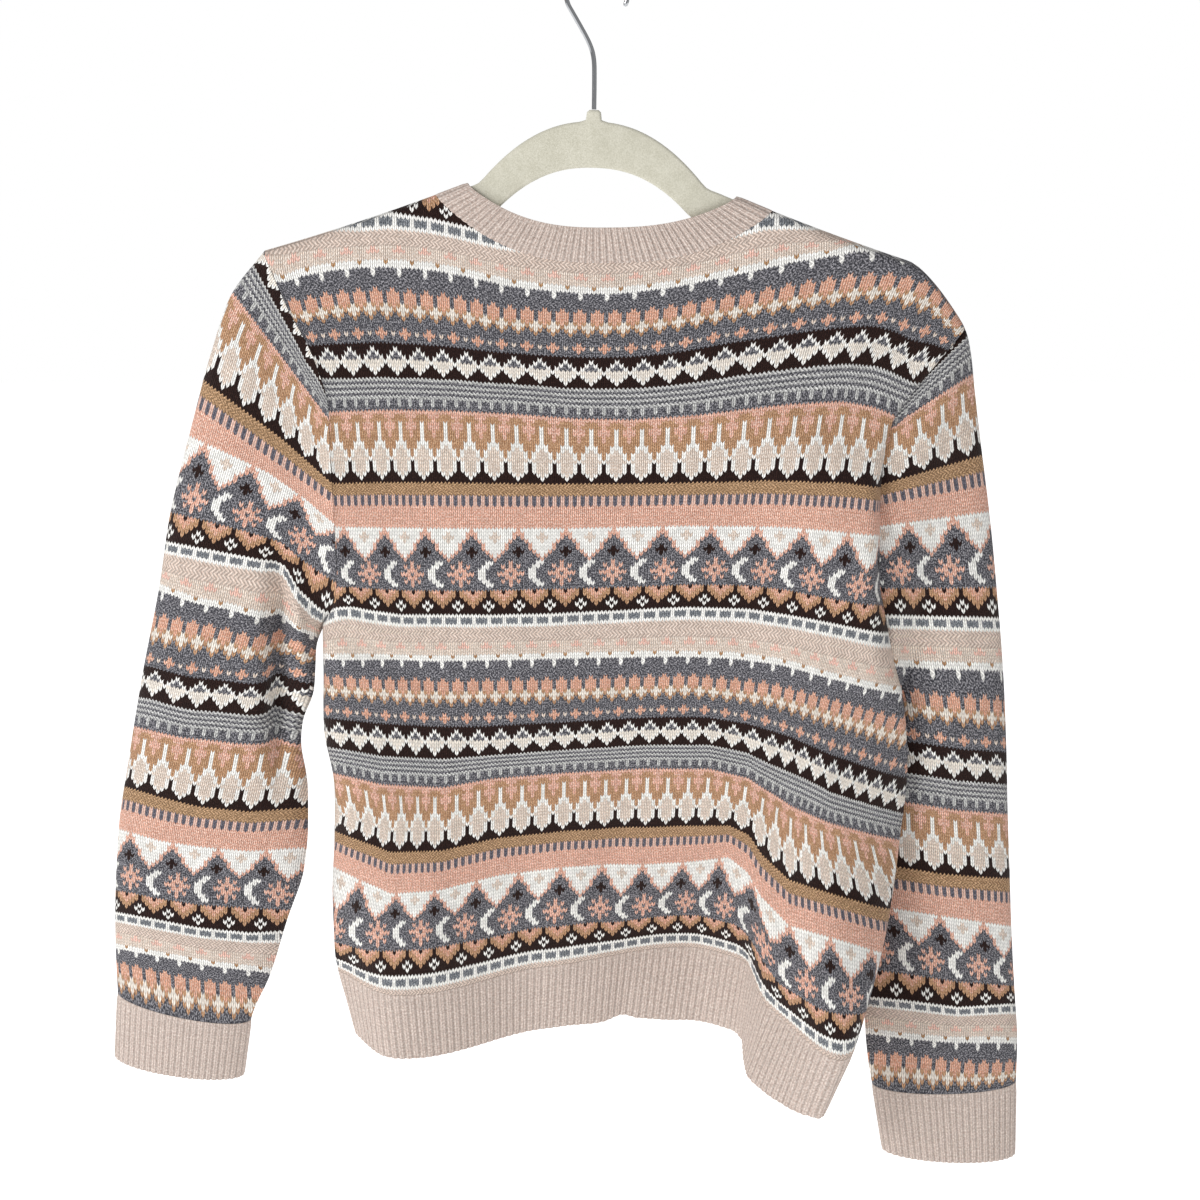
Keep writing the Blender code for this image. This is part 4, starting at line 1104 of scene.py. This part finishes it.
def toned(color, tone):
    return tone.via("ShaderNodeVectorMath", {0: color, "Scale": tone}, operation="SCALE")


def noise(place, scale, detail):
    return place.via("ShaderNodeTexNoise", {"Vector": place, "Scale": scale, "Detail": detail})


def spot(x, y):
    return x.via("ShaderNodeCombineXYZ", {0: x, 1: y})


def uneven(wale, course, least, more):
    """A steady random tone for each stitch."""
    place = spot(wale, course)
    chance = place.via("ShaderNodeTexWhiteNoise", {"Vector": place}, noise_dimensions="2D")
    return chance * more + least


# ---- pieces


def stood(name, mesh, finish):
    """Puts a mesh in the scene as a smooth object with that finish."""
    mesh.shade_smooth()
    mesh.set_sharp_from_angle(angle=SHARP)
    mesh.materials.append(finish)
    thing = bpy.data.objects.new(name, mesh)
    bpy.context.scene.collection.objects.link(thing)
    return thing


def cloth(name, points, normal, knit, finish, closed=False):
    """A closed wall of cloth round a grid of points. knit is each point's wale and course, with
    one column more than the points where the grid closes on itself."""
    rows, columns = points.shape[:2]
    flat = np.concatenate([points + normal * WALL / 2, points - normal * WALL / 2]).reshape(-1, 3)
    inside = rows * columns
    number = np.arange(inside).reshape(rows, columns)
    if closed:
        number = np.concatenate([number, number[:, :1]], 1)

    def quads(grid):
        return np.stack([grid[:-1, :-1], grid[:-1, 1:], grid[1:, 1:], grid[1:, :-1]], 2)

    out, out_knit = quads(number).reshape(-1, 4), quads(knit).reshape(-1, 4, 2)
    faces, spots = [out, out[:, ::-1] + inside], [out_knit, out_knit[:, ::-1]]
    edges = [(number[0][::-1], knit[0][::-1]), (number[-1], knit[-1])]
    if not closed:
        edges += [(number[:, 0], knit[:, 0]), (number[::-1, -1], knit[::-1, -1])]
    for line, stitch in edges:
        faces.append(np.stack([line[:-1], line[1:], line[1:] + inside, line[:-1] + inside], 1))
        spots.append(np.stack([stitch[:-1], stitch[1:], stitch[1:], stitch[:-1]], 1))
    faces, spots = np.concatenate(faces), np.concatenate(spots)
    middle = out[len(out) // 2 + columns // 3]
    a, b, c = flat[middle[:3]]
    if np.cross(b - a, c - b) @ normal.reshape(-1, 3)[middle[0]] < 0:
        faces, spots = faces[:, ::-1], spots[:, ::-1]
    mesh = bpy.data.meshes.new(name)
    mesh.from_pydata(flat.tolist(), [], faces.tolist())
    mesh.uv_layers.new(name="Knit").data.foreach_set("uv", spots.reshape(-1).astype(np.float32))
    depth_in = np.repeat(ease(0, RIB_START, np.linspace(0, 1, rows)), columns)
    wale = knit[:, :columns, 0].reshape(-1)
    for attribute, values in (("outside", [depth_in, depth_in * 0]), ("wale", [wale, wale])):
        given = mesh.attributes.new(attribute, "FLOAT", "POINT")
        given.data.foreach_set("value", np.concatenate(values).astype(np.float32))
    return stood(name, mesh, finish)


def rib_tree():
    """Geometry nodes that raise a piece's outside in round ribs, one to each wale."""
    tree = bpy.data.node_groups.new("raised_ribs", "GeometryNodeTree")
    for name, way, kind in (("Geometry", "INPUT", "Geometry"), ("Rise", "INPUT", "Float"),
                            ("Roundness", "INPUT", "Float"), ("Finish", "INPUT", "Material"),
                            ("Geometry", "OUTPUT", "Geometry")):
        tree.interface.new_socket(name, in_out=way, socket_type="NodeSocket" + kind)
    given = add(tree, "NodeGroupInput").outputs

    def named(attribute):
        node = add(tree, "GeometryNodeInputNamedAttribute", {"Name": attribute}, data_type="FLOAT")
        return Number(node.outputs["Attribute"])

    crest = abs((named("wale") * math.pi).alone("SINE")) ** given["Roundness"]
    facing = add(tree, "GeometryNodeInputNormal").outputs[0]
    away = toned(facing, crest * named("outside") * given["Rise"])
    moved = add(tree, "GeometryNodeSetPosition", {"Geometry": given["Geometry"], "Offset": away})
    real = add(tree, "GeometryNodeRealizeInstances", {0: moved.outputs[0]})
    paint = add(tree, "GeometryNodeSetMaterial",
                {"Geometry": real.outputs[0], "Material": given["Finish"]})
    add(tree, "NodeGroupOutput", {0: paint.outputs[0]})
    return tree


def raised(thing, tree, values):
    """Runs a node tree on an object with the values of its named inputs, and keeps its mesh."""
    modifier = thing.modifiers.new("ribs", "NODES")
    modifier.node_group = tree
    for item in tree.interface.items_tree:
        if item.in_out == "INPUT" and item.name in values:
            modifier[item.identifier] = values[item.name]
    bpy.context.view_layer.update()
    graph = bpy.context.evaluated_depsgraph_get()
    mesh = bpy.data.meshes.new_from_object(thing.evaluated_get(graph), depsgraph=graph,
                                           preserve_all_data_layers=True)
    thing.modifiers.clear()
    thing.data = mesh
    mesh.shade_smooth()
    mesh.set_sharp_from_angle(angle=RIB_SHARP)
    return thing


def hanger_outline():
    """Half of the upright hanger's outline, from the nub's middle out and back underneath."""
    foot, above = NUB_FOOT
    line = [(share * NUB_WIDTH, NUB_TOP - low) for share, low in NUB_SHAPE]
    line.append((foot * NUB_WIDTH, float(arch(ARCH_OUTER, foot * NUB_WIDTH)) + above))
    near, lift = WING_JOIN
    for x in np.linspace(TOP_START, HANGER_REACH - HANGER_END_ROUND, HANGER_POINTS):
        over, wing = float(arch(ARCH_OUTER, x)), float(wing_top(x))
        line.append((x, max(over, wing) if abs(over - wing) > near else (over + wing) / 2 + lift))
    tip = float(wing_top(HANGER_REACH))
    for turn in END_TURNS:
        line.append((HANGER_REACH - HANGER_END_ROUND * (1 - math.sin(turn)),
                     tip - HANGER_END_ROUND * (1 - math.cos(turn))))
    line.append((HANGER_REACH - END_CORNER[0], tip - WING_HEIGHT[1] - END_CORNER[1]))
    for x in np.linspace(HANGER_REACH - UNDER_START, 0.0, HANGER_POINTS):
        share = (x - WING_START[0]) / (HANGER_REACH - WING_START[0])
        tall = WING_HEIGHT[0] + (WING_HEIGHT[1] - WING_HEIGHT[0]) * min(max(share, 0), 1)
        line.append((x, max(float(arch(ARCH_INNER, x)), float(wing_top(x)) - tall)))
    return line


def from_bmesh(name, mesh, finish):
    bmesh.ops.triangulate(mesh, faces=mesh.faces[:])
    bmesh.ops.recalc_face_normals(mesh, faces=mesh.faces[:])
    data = bpy.data.meshes.new(name)
    mesh.to_mesh(data)
    mesh.free()
    return stood(name, data, finish)


def make_hanger(finish):
    """Flat flocked hanger: its outline, thickened, with rounded edges."""
    half = hanger_outline()
    turned = [tilted(x, z) for x, z in half + [(-x, z) for x, z in half[-2:0:-1]]]
    mesh = bmesh.new()
    face = mesh.faces.new([mesh.verts.new((x, -HANGER_THICK / 2, z)) for x, z in turned])
    grown = bmesh.ops.extrude_face_region(mesh, geom=[face])
    moved = [v for v in grown["geom"] if isinstance(v, bmesh.types.BMVert)]
    bmesh.ops.translate(mesh, verts=moved, vec=(0, HANGER_THICK, 0))
    rims = [e for e in mesh.edges if abs(e.verts[0].co.y - e.verts[1].co.y) < SAME_DEPTH]
    bmesh.ops.bevel(mesh, geom=rims, offset=HANGER_EDGE, segments=BEVEL_STEPS, profile=0.5,
                    affect="EDGES", clamp_overlap=True)
    return from_bmesh("flocked_hanger", mesh, finish)


def smooth_path(points):
    """A rounded path through points, by two rounds of corner cutting."""
    points = np.array(points, float)
    for _ in range(2):
        a, b = points[:-1], points[1:]
        cut = np.stack([a * 0.75 + b * 0.25, a * 0.25 + b * 0.75], 1).reshape(-1, 2)
        points = np.concatenate([points[:1], cut, points[-1:]])
    return points


def make_hook(finish):
    """Bent wire with a rounded open end."""
    centre = -(HOOK_RADIUS - WIRE / 2)
    bow = [(HOOK_RADIUS * math.cos(a), centre + HOOK_RADIUS * math.sin(a))
           for a in np.linspace(HOOK_OPEN_END, HOOK_LAST, HOOK_POINTS)]
    foot = tilted(0, NUB_TOP + SEAM)
    line = evenly(smooth_path(bow + list(STEM_TURN) + [foot]), WIRE_POINTS)
    mesh = bmesh.new()
    rings = []
    for i, ((x, z), (dx, dz)) in enumerate(zip(line, unit(np.gradient(line, axis=0)))):
        radius = WIRE / 2 * math.sqrt(1 - max(0, 1 - (i + TIP_START) / TIP_RINGS) ** 2)
        around = [2 * math.pi * k / WIRE_SIDES for k in range(WIRE_SIDES)]
        rings.append([mesh.verts.new((x + radius * math.cos(a) * dz, radius * math.sin(a),
                                      z - radius * math.cos(a) * dx)) for a in around])
    for a, b in zip(rings, rings[1:]):
        for k in range(WIRE_SIDES):
            j = (k + 1) % WIRE_SIDES
            mesh.faces.new((a[k], a[j], b[j], b[k]))
    mesh.faces.new(rings[0])
    mesh.faces.new(rings[-1])
    return from_bmesh("wire_hook", mesh, finish)


# ---- finishes


def tint(code):
    """Linear colour of a #RRGGBB code."""
    values = [int(code[i:i + 2], 16) / 255 for i in (1, 3, 5)]
    return [*(v / 12.92 if v <= 0.04045 else ((v + 0.055) / 1.055) ** 2.4 for v in values), 1]


def begin(name, **constants):
    """A new material and its shader, with the constants on the shader's own sockets."""
    material = bpy.data.materials.new(name)
    material.use_nodes = True
    shader = material.node_tree.nodes["Principled BSDF"]
    for key, value in constants.items():
        shader.inputs[key.replace("_", " ")].default_value = value
    return material, shader


def embossed(shader, height, relief):
    distance, strength = relief
    bump = add(shader.id_data, "ShaderNodeBump", {"Distance": distance, "Strength": strength})
    put(height, bump.inputs["Height"])
    put(bump.outputs[0], shader.inputs["Normal"])


def knit_map(shader):
    """Wale and course of each spot."""
    place = add(shader.id_data, "ShaderNodeUVMap", uv_map="Knit").outputs[0]
    parts = add(shader.id_data, "ShaderNodeSeparateXYZ", {0: place}).outputs
    return Number(parts[0]), Number(parts[1])


def on_object(shader):
    return Number(add(shader.id_data, "ShaderNodeTexCoord").outputs["Object"])


def ramp(at, stops):
    """Colour and alpha of one stop, chosen by its number."""
    node = add(at.socket.id_data, "ShaderNodeValToRGB", {0: (at + 0.5) / RAMP_STOPS})
    band = node.color_ramp
    band.interpolation = "CONSTANT"
    while len(band.elements) > 1:
        band.elements.remove(band.elements[-1])
    band.elements[0].position = 0
    for i in range(1, len(stops)):
        band.elements.new(i / RAMP_STOPS)
    for element, stop in zip(band.elements, stops):
        element.color = stop
    return Number(node.outputs["Color"]), Number(node.outputs["Alpha"])


def course_stop(letters, purl):
    """A course as one ramp colour: which of its own yarns each wale has, in base four and two
    halves; its length across and its stitch; and which yarns those are, in base sixteen."""
    own = "".join(dict.fromkeys(letters))
    halves = [0, 0]
    for i, letter in enumerate(letters):
        halves[i // HALF_WALES] += own.index(letter) * 4 ** (i % HALF_WALES)
    yarns = sum(LETTERS.index(letter) * 16 ** i for i, letter in enumerate(own))
    return (halves[0] / HALF, halves[1] / HALF,
            (len(letters) + LONGEST * purl) / CODES, yarns / OWN_YARNS)


def digit(number, base, place):
    """One digit of a whole number that may be a little off."""
    return ((number + 0.5) / base ** place).floor() % base


def stitch_height(down, side):
    """Height of plain stitches: two slanting legs with a hollow between and round them."""
    leg = 1 - (abs(side - LEG_MIDDLE) / LEG_MIDDLE) ** 2
    return leg ** LEG_ROUND * (1 - abs(down * 2 - 1) ** 3 * LEG_ENDS)


def fair_isle(name):
    """Stranded knit: reads the chart by wale and course, one yarn to a stitch."""
    material, shader = begin(name, Sheen_Weight=0.08, Sheen_Roughness=0.5, **SOFT)
    u, v = knit_map(shader)
    wale, side = u.floor(), abs(u.fract() - 0.5)
    slanted = v - (LEG_MIDDLE - side) * LEG_SLANT
    course, plain = slanted.floor(), stitch_height(slanted.fract(), side)
    row = course % REPEAT
    block = (row / RAMP_STOPS).floor()
    within = row - block * RAMP_STOPS
    color, alpha = ramp(within, [course_stop(*each) for each in COURSES[:RAMP_STOPS]])
    for i in range(RAMP_STOPS, REPEAT, RAMP_STOPS):
        stops = [course_stop(*each) for each in COURSES[i:i + RAMP_STOPS]]
        next_color, next_alpha = ramp(within, stops)
        later = block > i / RAMP_STOPS - 0.5
        color, alpha = dyed(later, color, next_color), blend(later, alpha, next_alpha)
    first, second, code = [Number(part) for part in add(
        shader.id_data, "ShaderNodeSeparateColor", {0: color}).outputs]
    code = (code * CODES).alone("ROUND")
    step = wale % (code % LONGEST)
    late = step > HALF_WALES - 0.5
    own = digit(blend(late, first, second) * HALF, 4, step - late * HALF_WALES)
    yarn = digit(alpha * OWN_YARNS, LONGEST, own)
    base, flecks = ramp(yarn, [(*tint(c)[:3], share) for c, share, _ in YARNS.values()])
    fleck, _ = ramp(yarn, [tint(c) for _, _, c in YARNS.values()])
    fibres = between(noise(spot(u * FIBRE_STRETCH, v), FIBRE_SCALE, 1.0), *FIBRE_EDGES)
    lean = (course % 2 * 2 - 1) * (v.fract() - 0.5)
    bar = 1 - abs((u + lean).fract() * 2 - 1)
    purl = code > LONGEST - 0.5
    height = blend(purl, plain, between(bar, *PURL_EDGES))
    # Painted shade in the stitches' hollows and painted highlight on their tops, times a random
    # tone for each stitch
    shade = blend(purl, blend(plain, *PLAIN_PAINTED_SHADING), blend(height, *PURL_PAINTED_SHADING))
    shade = shade * uneven(wale, course, *KNIT_UNEVEN)
    put(toned(dyed(fibres * flecks, base, fleck), shade), shader.inputs["Base Color"])
    embossed(shader, height, KNIT_RELIEF)
    return material


def marl_rib():
    """Oatmeal marl in 1x1 rib: a column of stitches up each rib, with painted shade in the furrows
    and between the stitches.
    """
    material, shader = begin("oatmeal_marl_rib", Sheen_Weight=0.12, Sheen_Roughness=0.5, **SOFT)
    u, v = knit_map(shader)
    side = abs(u.fract() - 0.5)
    leg_side = side * RIB_LEGS
    slanted = v - (LEG_MIDDLE - leg_side) * RIB_SLANT
    stitch = stitch_height(slanted.fract(), leg_side)
    furrow = between(side, *FURROW_EDGES) * between(v, *FURROW_START)
    across, along = MARL_STRETCH
    fibres = between(noise(spot(u * across, v * along), MARL_SCALE, 3.0), *MARL_EDGES)
    base = dyed(fibres, *[tint(code) for code in MARL])
    # Painted shade between the stitches and in the furrows, painted highlight on the stitches'
    # tops, times a random tone for each stitch
    shade = blend(stitch, *RIB_PAINTED_SHADING) * blend(furrow, 1.0, FURROW_PAINTED_SHADE)
    shade = shade * uneven(u.floor(), slanted.floor(), *RIB_UNEVEN)
    put(toned(base, shade), shader.inputs["Base Color"])
    embossed(shader, stitch, RIB_RELIEF)
    return material


def flock():
    """Ivory velvet flock: fine soft mottling, no shine."""
    material, shader = begin("ivory_flock", Sheen_Weight=0.5, Sheen_Roughness=0.4, **SOFT)
    place = on_object(shader)
    fine, broad = [noise(place, scale, 2.0) for scale in FLOCK_SCALES]
    mottle = between(fine * FLOCK_FINE + broad * (1 - FLOCK_FINE), *FLOCK_EDGES)
    put(dyed(mottle, *[tint(code) for code in FLOCK]), shader.inputs["Base Color"])
    embossed(shader, fine, FLOCK_RELIEF)
    return material


def chrome():
    """Bright wire with faint smears."""
    material, shader = begin("bright_chrome", Roughness=0.12, Metallic=1.0,
                             Base_Color=tint("#AEB0B3"))
    put(blend(noise(on_object(shader), SMEAR_SCALE, 2.0), *SMEAR), shader.inputs["Roughness"])
    return material


# ---- surroundings


def surroundings():
    """Camera at the eye, a plain pale floor, and plain soft light."""
    scene = bpy.context.scene
    scene.view_settings.view_transform = "Standard"
    lens = bpy.data.cameras.new("camera")
    lens.sensor_width = SENSOR
    lens.lens = SENSOR * SIGHT_LENGTH / SHEET
    camera = bpy.data.objects.new("camera", lens)
    camera.location = EYE
    camera.rotation_euler = (math.pi / 2 - EYE_PITCH, 0, 0)
    scene.collection.objects.link(camera)
    scene.camera = camera

    mesh = bpy.data.meshes.new("floor")
    left, near, right, far = FLOOR
    corners = ((left, near), (right, near), (right, far), (left, far))
    mesh.from_pydata([(x, y, FLOOR_HEIGHT) for x, y in corners], [], [(0, 1, 2, 3)])
    floor = bpy.data.objects.new("floor", mesh)
    pale, _ = begin("pale_floor", Roughness=0.9, Base_Color=(0.93, 0.93, 0.93, 1),
                    Emission_Color=(1, 1, 1, 1), Emission_Strength=FLOOR_GLOW)
    mesh.materials.append(pale)
    scene.collection.objects.link(floor)

    world = bpy.data.worlds.new("pale_room")
    scene.world = world
    world.use_nodes = True
    background = world.node_tree.nodes["Background"]
    background.inputs["Color"].default_value = (1, 1, 1, 1)
    seen = Number(add(world.node_tree, "ShaderNodeLightPath").outputs["Is Camera Ray"])
    put(blend(seen, ROOM_LIGHT, 1.0), background.inputs["Strength"])
    for name, place, size, power in LAMPS:
        light = bpy.data.lights.new(name, "AREA")
        light.size, light.energy = size, power
        lamp = bpy.data.objects.new(name, light)
        lamp.location = place
        toward = bpy.data.objects.new(name + "_aim", None)
        toward.location = LAMP_AIM
        for thing in (lamp, toward):
            scene.collection.objects.link(thing)
        hold = lamp.constraints.new("TRACK_TO")
        hold.target = toward
        hold.track_axis, hold.up_axis = "TRACK_NEGATIVE_Z", "UP_Y"


def settle(thing, node):
    """The piece stands for that CAD node, in the one body."""
    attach(thing, "root")
    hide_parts(node)
    return thing


def main():
    body_finish, sleeve_finish = fair_isle("fair_isle_body"), fair_isle("fair_isle_sleeves")
    rib_finish, tree = marl_rib(), rib_tree()

    def ribbed(name, node, shape, ribs):
        """A ribbed piece from the function that gives its shape for a count of columns."""
        piece = cloth(name, *rib_grid(*shape(RIB_COLUMNS * ribs), ribs), rib_finish, closed=True)
        sizes = {"Rise": RIB_RISE, "Roundness": RIB_ROUND, "Finish": rib_finish}
        return settle(raised(piece, tree, sizes), node)

    back = cloth("knit_back", *creased(*panel(BACK), BACK_CREASES), back_knit(), body_finish)
    front = cloth("knit_front", *creased(*panel(FRONT), FRONT_CREASES), front_knit(), body_finish)
    settle(back, "back")
    settle(front, "front")
    hem = ribbed("rib_hem", "hem_rib", hem_rib, HEM_RIBS)
    band = ribbed("rib_neckband", "neckband", neckband, NECK_RIBS)
    for side in ("left", "right"):
        arm = cloth("knit_sleeve_" + side, *sleeve_grid(side), sleeve_finish, closed=True)
        settle(arm, "sleeve_" + side)
        wrist = ribbed("rib_cuff_" + side, "cuff_" + side, functools.partial(cuff, side), CUFF_RIBS)
    settle(make_hanger(flock()), "hanger")
    settle(make_hook(chrome()), "hanger_hook")
    surroundings()


main()
